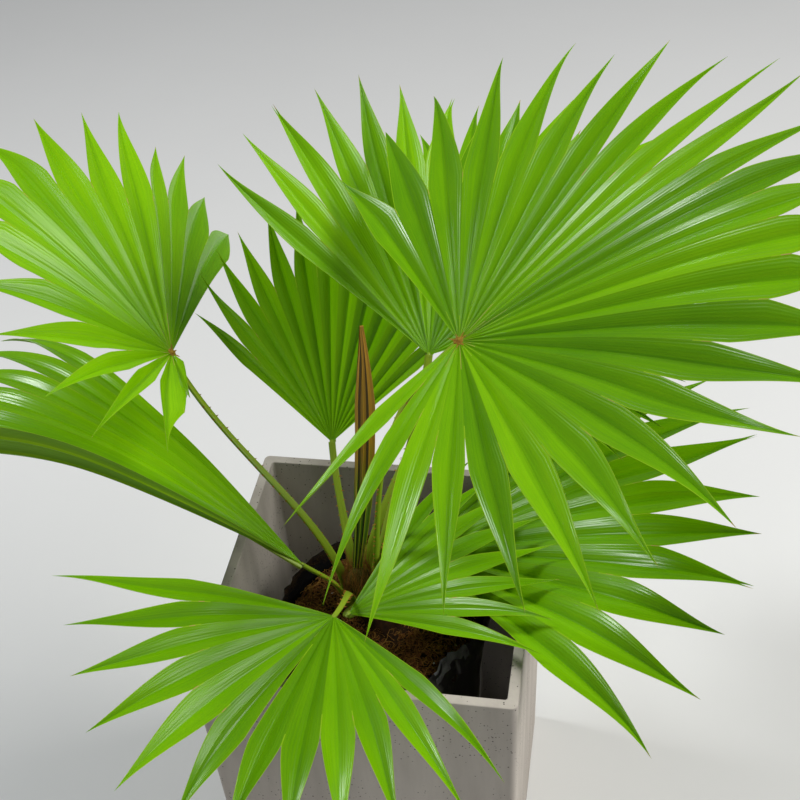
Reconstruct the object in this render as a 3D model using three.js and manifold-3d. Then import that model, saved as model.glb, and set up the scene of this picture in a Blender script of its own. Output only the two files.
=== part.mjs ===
// Chinese fan palm (Livistona chinensis) growing in a square concrete planter.
// Millimetres, +Z up, origin at the centre of the planter's flat underside.
//
// A fan is one pleated blade. Its segments spread from the hub at the petiole's tip, are fused for
// most of their length, and are free, tapering and hanging beyond that. Petioles rise from a ring
// round the short stem, and the stem stands on the root ball, which fills a bag in the planter.

import * as THREE from 'three';
import { mergeVertices } from 'three/addons/utils/BufferGeometryUtils.js';
import Module from 'manifold-3d';

const wasm = await Module();
wasm.setup();

// ---------------------------------------------------------------- driving dimensions

const CLEARANCE = 0.3;

const POT = { width: 300, footWidth: 285, height: 400, wall: 10, floor: 12, cornerRadius: 6 };
const BAG = { mouthRadius: 102, footRadius: 90, wall: 1.5, top: 346, lip: 5 };
const SOIL = { level: 330, edgeDrop: 8, flatRadius: 66 };
const STEM = { x: -27, y: 22, height: 46, footRadius: 19, neckRadius: 12, flare: 12 };
const SPEAR = { tip: [0, 24, 680], width: 18, thickness: 6, footShare: 0.5, belly: 10 };
const PETIOLE = { footRadius: 4.5, tipRadius: 3.5, ring: 16.5, bend: 0.35, arrival: 0.5 };

// Stations along a segment, counted in steps of its rib, and those of them where two segments part.
const RIB_STEPS = 24;
const STATIONS = [0, 4, 8, 12, 15, 18, 21, 24];
const DEEPEST = 1;
const SHALLOWEST = 5;
const PAIRED = 4;
const BLADE = { thicknessShare: 0.011, pleat: 0.16, freeEdge: 0.86, shoulder: 0.5, point: 0.3 };
const CREST_SPREAD = 24;
const LEAST_FUSED = 0.1;
const BUNCH_PLACE = 0.54;

// Each frond: the hub's place, the fan's heading, lift and roll in degrees, and its length. The
// segments behind the hub are shorter and limper than those ahead. fold lifts the two sides, cup
// lifts the whole rim and droop lets the segments hang. They spread from one angle to another.
// fused is the share of their length for which they are joined, crest how much more that is at the
// angle peak, and ease how much less at the first and at the last segment; broad says how much
// longer than that they stay at their full width. flare spreads the last segments and bunch, in
// degrees, crowds the middle ones. cleft is a seam that parts near the hub. pair is a seam that
// parts late, next to a last segment with only stub of its length.
// The petiole starts at an angle round the stem and a height above the soil, and ends against the
// hub from below or from behind.
const FRONDS = [
  {
    hub: [88, -2, 690], heading: 1, lift: 16, roll: 19, length: 345, shorter: 0.46, limper: 1.2,
    fold: -8, cup: 19, droop: 0.24, from: -130, to: 118, segments: 26, bunch: 14,
    fused: 0.57, crest: 0.25, peak: -1, ease: [0.36, 0], broad: 0.6,
    foot: { angle: -14, height: 16 }, joins: 'below',
  },
  {
    hub: [46, 84, 604], heading: 96, lift: 32, roll: 12, length: 265, shorter: 0.32, limper: 0,
    fold: 24, cup: 3, droop: 0.18, from: -75, to: 60, segments: 14,
    fused: 0.7, peak: 0, ease: [0.2, 0.12], broad: 0.5,
    foot: { angle: 19, height: 18 }, joins: 'behind',
  },
  {
    hub: [-197, 70, 600], heading: 122, lift: 23, roll: 46, length: 275, shorter: 0.52, limper: 0,
    fold: -17, cup: 15, droop: 0.36, from: -36, to: 175, segments: 16, flare: 0.24,
    fused: 0.56, crest: 0.25, peak: 50, ease: [-0.2, 1.4], broad: 0.3, pair: 15, stub: 0.5,
    foot: { angle: 160, height: 14 }, joins: 'below',
  },
  {
    hub: [-67, -28, 430], heading: 183, lift: 34, roll: 33, length: 450, shorter: 0, limper: 0.6,
    fold: 41, cup: 0, droop: 1.15, from: -26, to: 8, segments: 8,
    fused: 0.72, peak: -9, ease: [0.08, 0.08], broad: 0.5,
    foot: { angle: 222, height: 8 }, joins: 'behind',
  },
  {
    hub: [-61, 102, 470], heading: 92, lift: 62, roll: -6, length: 250, shorter: 1.4, limper: 0,
    fold: 5, cup: 0, droop: 0.2, from: -44, to: 46, segments: 13,
    fused: 0.68, peak: 0, ease: [0.1, 0.1], broad: 0.5,
    foot: { angle: 120, height: 14 }, joins: 'behind',
  },
  {
    hub: [-24, -88, 430], heading: 254, lift: 7, roll: -8, length: 260, shorter: 0.1, limper: 0,
    fold: 14, cup: 3, droop: 0.46, from: -60, to: 62, segments: 12,
    fused: 0.62, peak: 0, ease: [0.12, 0.2], broad: 0.3, cleft: 6,
    foot: { angle: -107, height: 12 }, joins: 'behind',
  },
  {
    hub: [-24, -42, 380], heading: 6, lift: 24, roll: 5, length: 215, shorter: 0.1, limper: 0,
    fold: 4, cup: 0, droop: 0.42, from: -24, to: 50, segments: 8,
    fused: 0.58, peak: 10, ease: [0.06, 0.06], broad: 0.5,
    foot: { angle: -58, height: 8 }, joins: 'behind',
  },
  {
    hub: [22, 62, 360], heading: -6, lift: 24, roll: 6, length: 370, shorter: 0.07, limper: 0,
    fold: 3, cup: 1, droop: 0.36, from: -38, to: 42, segments: 10,
    fused: 0.68, peak: 0, ease: [0.06, 0.08], broad: 0.5,
    foot: { angle: 53, height: 8 }, joins: 'behind',
  },
  {
    hub: [77, 181, 560], heading: 50, lift: 35, roll: 0, length: 270, shorter: 0.25, limper: 0.3,
    fold: 8, cup: 3, droop: 0.35, from: -95, to: 95, segments: 18,
    fused: 0.66, peak: 0, ease: [0.3, 0.3], broad: 0.5,
    foot: { angle: 85, height: 12 }, joins: 'below',
  },
];

const COLOURS = {
  concrete: { color: 0xa39b92, roughness: 0.85, metalness: 0 },
  plastic: { color: 0x141414, roughness: 0.35, metalness: 0 },
  coir: { color: 0x4a2412, roughness: 0.95, metalness: 0 },
  sheath: { color: 0x7a5a30, roughness: 0.8, metalness: 0 },
  petiole: { color: 0x6f8f28, roughness: 0.45, metalness: 0 },
  spear: { color: 0x8c6a2c, roughness: 0.6, metalness: 0 },
  blade: { color: 0x4f9a14, roughness: 0.35, metalness: 0 },
};

// ---------------------------------------------------------------- helpers

const radians = THREE.MathUtils.degToRad;

function closed(geometry) {
  const bare = geometry.index ? geometry.toNonIndexed() : geometry.clone();
  bare.deleteAttribute('normal');
  bare.deleteAttribute('uv');
  return mergeVertices(bare, 1e-4);
}

function solid(geometry) {
  const merged = closed(geometry);
  return new wasm.Manifold(new wasm.Mesh({
    numProp: 3,
    vertProperties: new Float32Array(merged.attributes.position.array),
    triVerts: new Uint32Array(merged.index.array),
  }));
}

function geometryOf(manifold) {
  const mesh = manifold.getMesh();
  const geometry = new THREE.BufferGeometry();
  geometry.setAttribute('position', new THREE.BufferAttribute(mesh.vertProperties, 3));
  geometry.setIndex(new THREE.BufferAttribute(mesh.triVerts, 1));
  return geometry;
}

function named(name, geometry, finish) {
  geometry.computeVertexNormals();
  const mesh = new THREE.Mesh(geometry, new THREE.MeshStandardMaterial(finish));
  mesh.name = name;
  return mesh;
}

// A closed round solid of revolution, standing on its axis along +Z.
function turned(profile, sides) {
  const points = profile.map(([radius, height]) => new THREE.Vector2(radius, height));
  const geometry = new THREE.LatheGeometry(points, sides);
  geometry.rotateX(Math.PI / 2);
  return geometry;
}

// A limb along a curve: a capped cylinder whose rings are carried to the curve, each as wide and
// as thick as widthAt and thicknessAt say.
function limb(curve, steps, sides, widthAt, thicknessAt) {
  const geometry = new THREE.CylinderGeometry(1, 1, 1, sides, steps);
  const frames = curve.computeFrenetFrames(steps);
  const position = geometry.attributes.position;
  const vertex = new THREE.Vector3();
  for (let i = 0; i < position.count; i += 1) {
    vertex.fromBufferAttribute(position, i);
    const share = vertex.y + 0.5;
    const ring = Math.round(share * steps);
    const point = curve.getPointAt(share)
      .addScaledVector(frames.normals[ring], vertex.z * thicknessAt(share))
      .addScaledVector(frames.binormals[ring], vertex.x * widthAt(share));
    position.setXYZ(i, point.x, point.y, point.z);
  }
  return geometry;
}

// A block on the far side of a plane, to trim a limb's tip with.
function beyond(point, normal) {
  const size = 60;
  const block = new THREE.BoxGeometry(size, size, size);
  block.translate(0, 0, size / 2);
  block.applyQuaternion(new THREE.Quaternion().setFromUnitVectors(new THREE.Vector3(0, 0, 1), normal));
  block.translate(point.x, point.y, point.z);
  return solid(block);
}

// ---------------------------------------------------------------- planter, bag and soil

function roundedSquare(width, radius) {
  const half = width / 2;
  const shape = new THREE.Shape();
  for (let corner = 0; corner < 4; corner += 1) {
    const turn = corner * Math.PI / 2;
    const centre = new THREE.Vector2(half - radius, half - radius).rotateAround(new THREE.Vector2(), turn);
    shape.absarc(centre.x, centre.y, radius, turn, turn + Math.PI / 2, false);
  }
  return shape;
}

// A square block with rounded upright edges that widens from its foot to its top.
function taperedBlock(footWidth, topWidth, radius, bottom, top) {
  const shape = roundedSquare(topWidth, radius);
  const geometry = new THREE.ExtrudeGeometry(shape, {
    depth: top - bottom, bevelEnabled: false, curveSegments: 3,
  });
  const position = geometry.attributes.position;
  for (let i = 0; i < position.count; i += 1) {
    const share = position.getZ(i) / (top - bottom);
    const scale = THREE.MathUtils.lerp(footWidth / topWidth, 1, share);
    position.setXY(i, position.getX(i) * scale, position.getY(i) * scale);
  }
  geometry.translate(0, 0, bottom);
  return geometry;
}

function concretePot() {
  const { width, footWidth, height, wall, floor, cornerRadius } = POT;
  const slope = (width - footWidth) / height;
  const above = 5;
  const body = taperedBlock(footWidth, width, cornerRadius, 0, height);
  const hollow = taperedBlock(
    footWidth + slope * floor - 2 * wall,
    width + slope * above - 2 * wall,
    cornerRadius / 2,
    floor,
    height + above,
  );
  return geometryOf(solid(body).subtract(solid(hollow)));
}

function nurseryBag() {
  const { mouthRadius, footRadius, wall, top, lip } = BAG;
  const bottom = POT.floor + CLEARANCE;
  const profile = [
    [0, bottom],
    [footRadius, bottom],
    [mouthRadius, top - lip],
    [mouthRadius + wall, top - lip / 2],
    [mouthRadius, top],
    [mouthRadius - wall, top - lip / 2],
    [mouthRadius - wall, top - lip],
    [footRadius - wall, bottom + wall],
    [0, bottom + wall],
  ];
  return geometryOf(solid(turned(profile, 40)));
}

function coirSoil() {
  const bottom = POT.floor + BAG.wall + 2 * CLEARANCE;
  const wallGap = BAG.wall + 2 * CLEARANCE;
  const rimLevel = SOIL.level - SOIL.edgeDrop;
  const share = (rimLevel - bottom) / (BAG.top - BAG.lip - bottom);
  const profile = [
    [0, bottom],
    [BAG.footRadius - wallGap, bottom],
    [THREE.MathUtils.lerp(BAG.footRadius, BAG.mouthRadius, share) - wallGap, rimLevel],
    [SOIL.flatRadius, SOIL.level],
    [0, SOIL.level],
  ];
  return geometryOf(solid(turned(profile, 40)));
}

// ---------------------------------------------------------------- stem and spear leaf

function stemProfile(grow) {
  const { height, footRadius, neckRadius, flare } = STEM;
  const levels = [0, 6, 14, 26, 38];
  const side = levels.map((level) => {
    return [neckRadius + (footRadius - neckRadius) * Math.exp(-level / flare) + grow, level - grow];
  });
  const crown = [
    [neckRadius * 0.75 + grow, height - 2 + grow],
    [0, height + grow],
  ];
  return [[0, -grow], ...side, ...crown];
}

function stemBody(grow) {
  const geometry = turned(stemProfile(grow), 20);
  geometry.translate(STEM.x, STEM.y, SOIL.level + CLEARANCE);
  return solid(geometry);
}

function spearLeaf() {
  const foot = new THREE.Vector3(STEM.x, STEM.y, SOIL.level + STEM.height + 2 * CLEARANCE);
  const tip = new THREE.Vector3(...SPEAR.tip);
  const middle = foot.clone().lerp(tip, 0.5);
  middle.x += SPEAR.belly;
  const curve = new THREE.QuadraticBezierCurve3(foot, middle, tip);
  const swell = (share) => {
    const rise = SPEAR.footShare + (1 - SPEAR.footShare) * Math.min(1, share / 0.35);
    return share < 0.6 ? rise : rise * (1 - 0.9 * ((share - 0.6) / 0.4) ** 1.5);
  };
  return closed(limb(
    curve,
    12,
    8,
    (share) => SPEAR.width / 2 * swell(share),
    (share) => SPEAR.thickness / 2 * swell(share),
  ));
}

// ---------------------------------------------------------------- fronds

// The fan's own directions: ahead along its middle, across it, and up out of its upper face.
function fanAxes(frond) {
  const heading = radians(frond.heading);
  const lift = radians(frond.lift);
  const ahead = new THREE.Vector3(
    Math.cos(heading) * Math.cos(lift),
    Math.sin(heading) * Math.cos(lift),
    Math.sin(lift),
  );
  const level = new THREE.Vector3(-Math.sin(heading), Math.cos(heading), 0);
  const across = level.applyAxisAngle(ahead, radians(frond.roll));
  const up = new THREE.Vector3().crossVectors(ahead, across);
  return { ahead, across, up };
}

function startOf(frond, axes, angle) {
  const fold = radians(frond.fold);
  const side = Math.sin(angle);
  return axes.ahead.clone().multiplyScalar(Math.cos(angle))
    .addScaledVector(axes.across, side * Math.cos(fold))
    .addScaledVector(axes.up, Math.abs(side) * Math.sin(fold) + Math.tan(radians(frond.cup)))
    .normalize();
}

// The angle in the fan, in degrees, of a column: seams have even numbers and midribs odd ones.
function angleAt(frond, column) {
  const { from, to, segments, flare = 0, bunch = 0 } = frond;
  const half = (to - from) / (segments - 1) / 2;
  const share = column / segments / 2;
  const wave = Math.sin(2 * Math.PI * (share - BUNCH_PLACE)) + Math.sin(2 * Math.PI * BUNCH_PLACE);
  const spread = share + flare * (share ** 5 - share);
  return THREE.MathUtils.lerp(from - half, to + half, spread) - bunch * wave;
}

// The points of one rib, from the hub to its tip. A rib leaves the hub straight and turns towards
// straight down on its way out.
function rib(frond, axes, column) {
  const angle = radians(angleAt(frond, column));
  const behind = (1 - Math.cos(angle)) / 2;
  const cutShort = column < 2 * frond.segments - 1 ? 1 : frond.stub ?? 1;
  const length = frond.length * (1 - frond.shorter * behind) * cutShort;
  const droop = frond.droop * (1 + frond.limper * behind);
  const start = startOf(frond, axes, angle);
  const outward = new THREE.Vector3(start.x, start.y, 0).normalize();
  const steepness = Math.tan(Math.acos(-start.z) / 2);
  const points = [new THREE.Vector3(...frond.hub)];
  for (let i = 0; i < RIB_STEPS; i += 1) {
    const share = (i + 0.5) / RIB_STEPS;
    const turn = 2 * Math.atan(steepness * Math.exp(-droop * share * share));
    const next = points[i].clone();
    next.addScaledVector(outward, Math.sin(turn) * length / RIB_STEPS);
    next.z -= Math.cos(turn) * length / RIB_STEPS;
    points.push(next);
  }
  return points;
}

// The share of a rib's length for which the blade is fused at an angle of the fan, in degrees.
function fusedShare(frond, angle) {
  const { from, to, fused, crest = 0, peak, ease } = frond;
  const before = Math.max(0, (peak - angle) / (peak - from));
  const after = Math.max(0, (angle - peak) / (to - peak));
  const rise = crest * Math.exp(-(((angle - peak) / CREST_SPREAD) ** 2));
  return Math.max(LEAST_FUSED, fused + rise - ease[0] * before ** 2 - ease[1] * after ** 2);
}

// The station, counted in STATIONS, at which the two segments beside each seam part.
function splitStations(frond) {
  const splits = [];
  for (let i = 0; i <= frond.segments; i += 1) {
    const wanted = RIB_STEPS * fusedShare(frond, angleAt(frond, 2 * i));
    let nearest = DEEPEST;
    for (let station = DEEPEST; station <= SHALLOWEST; station += 1) {
      if (Math.abs(STATIONS[station] - wanted) < Math.abs(STATIONS[nearest] - wanted)) {
        nearest = station;
      }
    }
    splits.push(i % frond.segments === 0 ? 0 : nearest);
  }
  if (frond.cleft) {
    splits[frond.cleft] = DEEPEST;
  }
  if (frond.pair) {
    splits[frond.pair] = PAIRED;
  }
  return splits;
}

function frondBlade(frond) {
  const axes = fanAxes(frond);
  const thickness = frond.length * BLADE.thicknessShare;
  const columns = 2 * frond.segments + 1;
  const ribs = Array.from({ length: columns }, (_, column) => rib(frond, axes, column));
  const splits = splitStations(frond);
  const vertices = [];

  const acrossAt = (column, at) => {
    const low = ribs[Math.max(column - 1, 0)][at];
    const high = ribs[Math.min(column + 1, columns - 1)][at];
    return high.clone().sub(low).normalize();
  };
  const upAt = (column, at) => {
    const line = ribs[column];
    const along = line[Math.min(at + 1, RIB_STEPS)].clone().sub(line[Math.max(at - 1, 0)]);
    return along.cross(acrossAt(column, at)).normalize();
  };
  const add = (point) => vertices.push(point) - 1;
  const pair = (point, up) => {
    const top = add(point.clone().addScaledVector(up, thickness / 2));
    const bottom = add(point.clone().addScaledVector(up, -thickness / 2));
    return { top, bottom };
  };
  const single = (point) => {
    const index = add(point);
    return { top: index, bottom: index };
  };

  const hub = pair(new THREE.Vector3(...frond.hub), axes.up);

  // Half of a segment's width at a step of its rib: its sector's as far as the segment is full, and
  // then tapering to the tip.
  const halfWidth = (middle, at) => {
    const joined = fusedShare(frond, angleAt(frond, middle));
    const full = RIB_STEPS * (joined + frond.broad * Math.max(0, frond.fused - joined));
    const reach = Math.min(at, Math.round(full));
    const sector = ribs[middle + 1][reach].distanceTo(ribs[middle - 1][reach]) / 2;
    const beyond = Math.max(0, at - full) / (RIB_STEPS - full);
    const taper = (1 - beyond) * (1 + BLADE.shoulder * beyond * (1 - beyond));
    return sector * taper * (1 - BLADE.point * beyond ** 2);
  };

  // Commissures as far as they are fused: one shared column of vertex pairs each.
  const seams = splits.map((last, i) => {
    const column = 2 * i;
    return STATIONS.slice(0, last + 1).map((at, station) => {
      if (station === 0) {
        return hub;
      }
      const up = upAt(column, at);
      const middle = Math.min(Math.max(column, 1), columns - 2);
      const lift = BLADE.pleat * halfWidth(middle - (middle % 2 === 0 ? 1 : 0), at);
      return pair(ribs[column][at].clone().addScaledVector(up, lift), up);
    });
  });

  const triangles = [];
  const face = (a, b, c) => {
    if (a !== b && b !== c && a !== c) {
      triangles.push(a, b, c);
    }
  };
  const skin = (left, right, j) => {
    face(left[j].top, left[j + 1].top, right[j + 1].top);
    face(left[j].top, right[j + 1].top, right[j].top);
    face(left[j].bottom, right[j + 1].bottom, left[j + 1].bottom);
    face(left[j].bottom, right[j].bottom, right[j + 1].bottom);
  };

  for (let segment = 0; segment < frond.segments; segment += 1) {
    const middle = 2 * segment + 1;
    const tip = single(ribs[middle][RIB_STEPS]);
    const midrib = STATIONS.map((at, station) => {
      if (station === 0 || at === RIB_STEPS) {
        return station === 0 ? hub : tip;
      }
      const up = upAt(middle, at);
      return pair(ribs[middle][at].clone().addScaledVector(up, -BLADE.pleat * halfWidth(middle, at)), up);
    });
    const outline = (side, seam, last) => STATIONS.map((at, station) => {
      if (station <= last) {
        return seam[station];
      }
      if (at === RIB_STEPS) {
        return tip;
      }
      const width = halfWidth(middle, at) * BLADE.freeEdge;
      return single(ribs[middle][at].clone()
        .addScaledVector(acrossAt(middle, at), side * width)
        .addScaledVector(upAt(middle, at), BLADE.pleat * width));
    });
    const leftLast = splits[segment];
    const rightLast = splits[segment + 1];
    const left = outline(-1, seams[segment], leftLast);
    const right = outline(1, seams[segment + 1], rightLast);
    for (let j = 0; j < STATIONS.length - 1; j += 1) {
      skin(left, midrib, j);
      skin(midrib, right, j);
    }
    face(left[leftLast].top, left[leftLast].bottom, left[leftLast + 1].top);
    face(right[rightLast].top, right[rightLast + 1].top, right[rightLast].bottom);
  }

  const geometry = new THREE.BufferGeometry();
  geometry.setFromPoints(vertices);
  geometry.setIndex(triangles);
  return geometry;
}

// ---------------------------------------------------------------- petioles

// How steeply the blade falls below its hub's plane, at the rib that falls most.
function dipOf(frond, axes) {
  let dip = 0;
  for (let i = 0; i < frond.segments; i += 1) {
    const angle = radians(angleAt(frond, 2 * i + 1));
    dip = Math.max(dip, -startOf(frond, axes, angle).dot(axes.up));
  }
  return dip;
}

function petiole(frond, grownStem) {
  const axes = fanAxes(frond);
  const hub = new THREE.Vector3(...frond.hub);
  const around = radians(frond.foot.angle);
  const outward = new THREE.Vector3(Math.cos(around), Math.sin(around), 0);
  const foot = new THREE.Vector3(STEM.x, STEM.y, SOIL.level + frond.foot.height)
    .addScaledVector(outward, PETIOLE.ring);
  const span = foot.distanceTo(hub);
  const straight = hub.clone().sub(foot).normalize();
  const arrival = straight.clone().lerp(axes.ahead, PETIOLE.arrival).normalize();
  const leaving = new THREE.Vector3(0, 0, 1).lerp(straight, 0.4).normalize();
  const curve = new THREE.CubicBezierCurve3(
    foot,
    foot.clone().addScaledVector(leaving, span * PETIOLE.bend),
    hub.clone().addScaledVector(arrival, -span * PETIOLE.bend),
    hub,
  );
  const radiusAt = (share) => THREE.MathUtils.lerp(PETIOLE.footRadius, PETIOLE.tipRadius, Math.min(1, share * 1.6));
  const steps = Math.max(5, Math.round(span / 32));
  const body = solid(limb(curve, steps, 8, radiusAt, radiusAt));
  const below = frond.joins === 'below';
  const bladeHalf = frond.length * BLADE.thicknessShare / 2;
  const drop = below ? bladeHalf + PETIOLE.tipRadius * 1.2 * dipOf(frond, axes) : 0;
  const normal = below ? axes.up : axes.ahead;
  const cut = beyond(hub.clone().addScaledVector(normal, -drop - CLEARANCE), normal);
  return geometryOf(body.subtract(grownStem).subtract(cut));
}

// ---------------------------------------------------------------- the plant

const palm = new THREE.Group();
palm.name = 'chinese_fan_palm';
palm.add(named('concrete_pot', concretePot(), COLOURS.concrete));
palm.add(named('nursery_bag', nurseryBag(), COLOURS.plastic));
palm.add(named('coir_soil', coirSoil(), COLOURS.coir));
palm.add(named('stem_base', geometryOf(stemBody(0)), COLOURS.sheath));
palm.add(named('spear_leaf', spearLeaf(), COLOURS.spear));

const grownStem = stemBody(CLEARANCE);
FRONDS.forEach((frond, i) => {
  palm.add(named(`petiole_${i + 1}`, petiole(frond, grownStem), COLOURS.petiole));
  palm.add(named(`frond_${i + 1}`, frondBlade(frond), COLOURS.blade));
});

export default palm;
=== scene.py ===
"""Chinese fan palm in a square concrete planter: the looks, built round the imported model.

Each sub-assembly is a class that holds its sizes and makes its own pieces. Sizes are written in
millimetres and degrees, as in the part's source, and turned into metres where a mesh is made.
"""

import logging
import math
from dataclasses import dataclass, field
from enum import Enum
from functools import cache
from typing import Callable, Sequence

import bmesh
import bpy
import numpy as np
from mathutils import Matrix, Vector, noise


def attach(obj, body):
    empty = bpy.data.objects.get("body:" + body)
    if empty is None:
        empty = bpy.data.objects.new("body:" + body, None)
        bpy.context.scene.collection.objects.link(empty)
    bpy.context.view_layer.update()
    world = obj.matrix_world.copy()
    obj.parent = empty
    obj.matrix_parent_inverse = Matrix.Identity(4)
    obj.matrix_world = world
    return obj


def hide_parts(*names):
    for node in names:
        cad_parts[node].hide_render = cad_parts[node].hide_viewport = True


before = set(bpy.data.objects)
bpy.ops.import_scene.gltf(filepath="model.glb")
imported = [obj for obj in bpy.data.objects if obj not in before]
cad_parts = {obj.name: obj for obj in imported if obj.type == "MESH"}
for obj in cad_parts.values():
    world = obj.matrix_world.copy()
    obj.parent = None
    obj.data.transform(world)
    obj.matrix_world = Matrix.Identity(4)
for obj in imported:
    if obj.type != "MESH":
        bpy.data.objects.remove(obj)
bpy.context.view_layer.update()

MM = 0.001
STEM = (-27.0, 22.0)
SOIL = 330.0
BODY = "root"
LOG = logging.getLogger("fan_palm")

Colour = tuple[float, float, float]
Profile = Sequence[tuple[float, float]]
Layers = Sequence[tuple[float, float, float]]
Piece = bpy.types.Object
Socket = bpy.types.NodeSocket
Array = np.ndarray

# Dark colour for the concrete's pits: painted shade in the small hollows.
PIT_SHADE_COLOUR = (0.10, 0.09, 0.08, 1.0)
BUMP = 0.6
GLOW_DEPTH = 0.004
GLOW_SPREAD = (0.6, 1.0, 0.2)


# ---------------------------------------------------------------- finishes


class Pattern(Enum):
    """How a finish varies over its surface."""

    VEINS = "veins"
    GRAIN = "grain"
    PITS = "pits"
    RIPEN = "ripen"


@dataclass(frozen=True)
class Finish:
    """One surface: its two colours, its gloss and the relief of its pattern.

    light and dark are linear colours that the pattern mixes, rough is the lowest and highest
    roughness, scale is how many grains fit in a metre along each axis, and relief is the height
    of the pattern in millimetres.
    """

    name: str
    light: Colour
    dark: Colour
    rough: tuple[float, float] = (0.4, 0.6)
    pattern: Pattern = Pattern.GRAIN
    scale: tuple[float, float, float] = (60.0,) * 3
    relief: float = 0.2
    specular: float = 0.5
    glow: float = 0.0
    coat: float = 0.0


def leaf_finish(name: str, light: Colour, dark: Colour, rough: tuple[float, float]) -> Finish:
    """A finish of the blades: veined, and a little light passes into it.

    Args:
        name: its name.
        light: its lighter colour.
        dark: its darker colour.
        rough: its lowest and highest roughness.

    Returns:
        The finish.
    """
    return Finish(name, light, dark, rough, Pattern.VEINS, relief=0.18, specular=0.22, glow=0.15)


class Leaf(Enum):
    """The finishes of a blade: four greens dealt out by segment, and its small parts."""

    BRIGHT = leaf_finish("leaf_bright", (0.222, 0.500, 0.002), (0.158, 0.395, 0.001), (0.15, 0.26))
    FRESH = leaf_finish("leaf_fresh", (0.183, 0.435, 0.001), (0.130, 0.340, 0.001), (0.15, 0.26))
    MID = leaf_finish("leaf_mid", (0.154, 0.376, 0.001), (0.108, 0.292, 0.001), (0.16, 0.28))
    DEEP = leaf_finish("leaf_deep", (0.128, 0.320, 0.001), (0.087, 0.248, 0.001), (0.16, 0.28))
    UNDER = leaf_finish("leaf_underside", (0.190, 0.370, 0.008), (0.140, 0.295, 0.005), (0.45, 0.60))
    RIB = Finish("leaf_rib", (0.285, 0.490, 0.012), (0.210, 0.410, 0.006), (0.55, 0.70),
                 Pattern.VEINS, relief=0.05, specular=0.10, glow=0.10)
    DRY = Finish("leaf_dry_tip", (0.480, 0.410, 0.090), (0.330, 0.240, 0.050), (0.55, 0.75),
                 Pattern.VEINS, relief=0.10, specular=0.25)


class Stuff(Enum):
    """The other finishes of the plant and its planter."""

    PETIOLE = Finish("petiole_skin", (0.330, 0.450, 0.020), (0.190, 0.310, 0.010), (0.34, 0.48),
                     Pattern.VEINS, relief=0.10, glow=0.05)
    SPINE = Finish("spine_horn", (0.360, 0.170, 0.018), (0.170, 0.075, 0.009), (0.55, 0.70),
                   scale=(400.0,) * 3, relief=0.03, specular=0.15)
    HASTULA = Finish("hastula_scale", (0.460, 0.310, 0.035), (0.180, 0.085, 0.012), (0.6, 0.8),
                     scale=(700.0,) * 3, relief=0.15, specular=0.1)
    SHEATH = Finish("sheath_skin", (0.165, 0.170, 0.022), (0.050, 0.046, 0.008), (0.6, 0.8),
                    scale=(420.0, 420.0, 60.0), relief=0.5, specular=0.3)
    FIBRE = Finish("sheath_fibre", (0.560, 0.270, 0.060), (0.260, 0.100, 0.022), (0.5, 0.7),
                   scale=(300.0,) * 3, relief=0.03)
    SPEAR = Finish("spear_panel", (0.500, 0.235, 0.012), (0.100, 0.205, 0.006), (0.5, 0.65),
                   Pattern.RIPEN, relief=0.15)
    SPEAR_FOLD = Finish("spear_fold", (0.650, 0.330, 0.022), (0.430, 0.520, 0.015), (0.55, 0.7),
                        Pattern.RIPEN, relief=0.10)
    # Dark finish that paints the shade in the spear's pleats: every third panel, the inner-fold ribs and
    # the core.
    SPEAR_PLEAT_SHADE = Finish("spear_pleat_shade", (0.130, 0.070, 0.015), (0.030, 0.055, 0.006), (0.6, 0.8),
                        Pattern.RIPEN, relief=0.10)
    CONCRETE = Finish("cast_concrete", (0.540, 0.490, 0.435), (0.390, 0.348, 0.305), (0.72, 0.92),
                      Pattern.PITS, scale=(26.0, 26.0, 4.0), relief=0.5, specular=0.3)
    BAG = Finish("bag_film", (0.016, 0.016, 0.017), (0.008, 0.008, 0.008), (0.12, 0.24),
                 scale=(90.0,) * 3, relief=0.25, coat=1.0)
    # Grey film colour for the upward faces of the bag's fold: a painted highlight.
    BAG_PAINTED_HIGHLIGHT = Finish("bag_painted_highlight", (0.200, 0.205, 0.215), (0.012, 0.012, 0.013), (0.16, 0.30),
                      scale=(150.0, 40.0, 90.0), relief=0.25, coat=1.0)
    COIR = Finish("coir_bed", (0.062, 0.024, 0.006), (0.011, 0.005, 0.002), (0.85, 0.95),
                  scale=(260.0,) * 3, relief=1.2, specular=0.2)
    STRAND = Finish("coir_strand", (0.540, 0.270, 0.048), (0.130, 0.052, 0.010), (0.6, 0.8),
                    scale=(300.0,) * 3, relief=0.03, specular=0.25)
    CHIP = Finish("coir_chip", (0.250, 0.095, 0.020), (0.042, 0.016, 0.004), (0.7, 0.9),
                  scale=(500.0,) * 3, relief=0.2, specular=0.2)
    PERLITE = Finish("perlite_crumb", (0.700, 0.680, 0.620), (0.520, 0.500, 0.450), (0.7, 0.9),
                     scale=(600.0,) * 3, relief=0.2)
    FLOOR = Finish("studio_floor", (0.780, 0.780, 0.770), (0.760, 0.760, 0.750), (0.8, 0.9),
                   scale=(3.0,) * 3, relief=0.0, specular=0.2)


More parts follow.
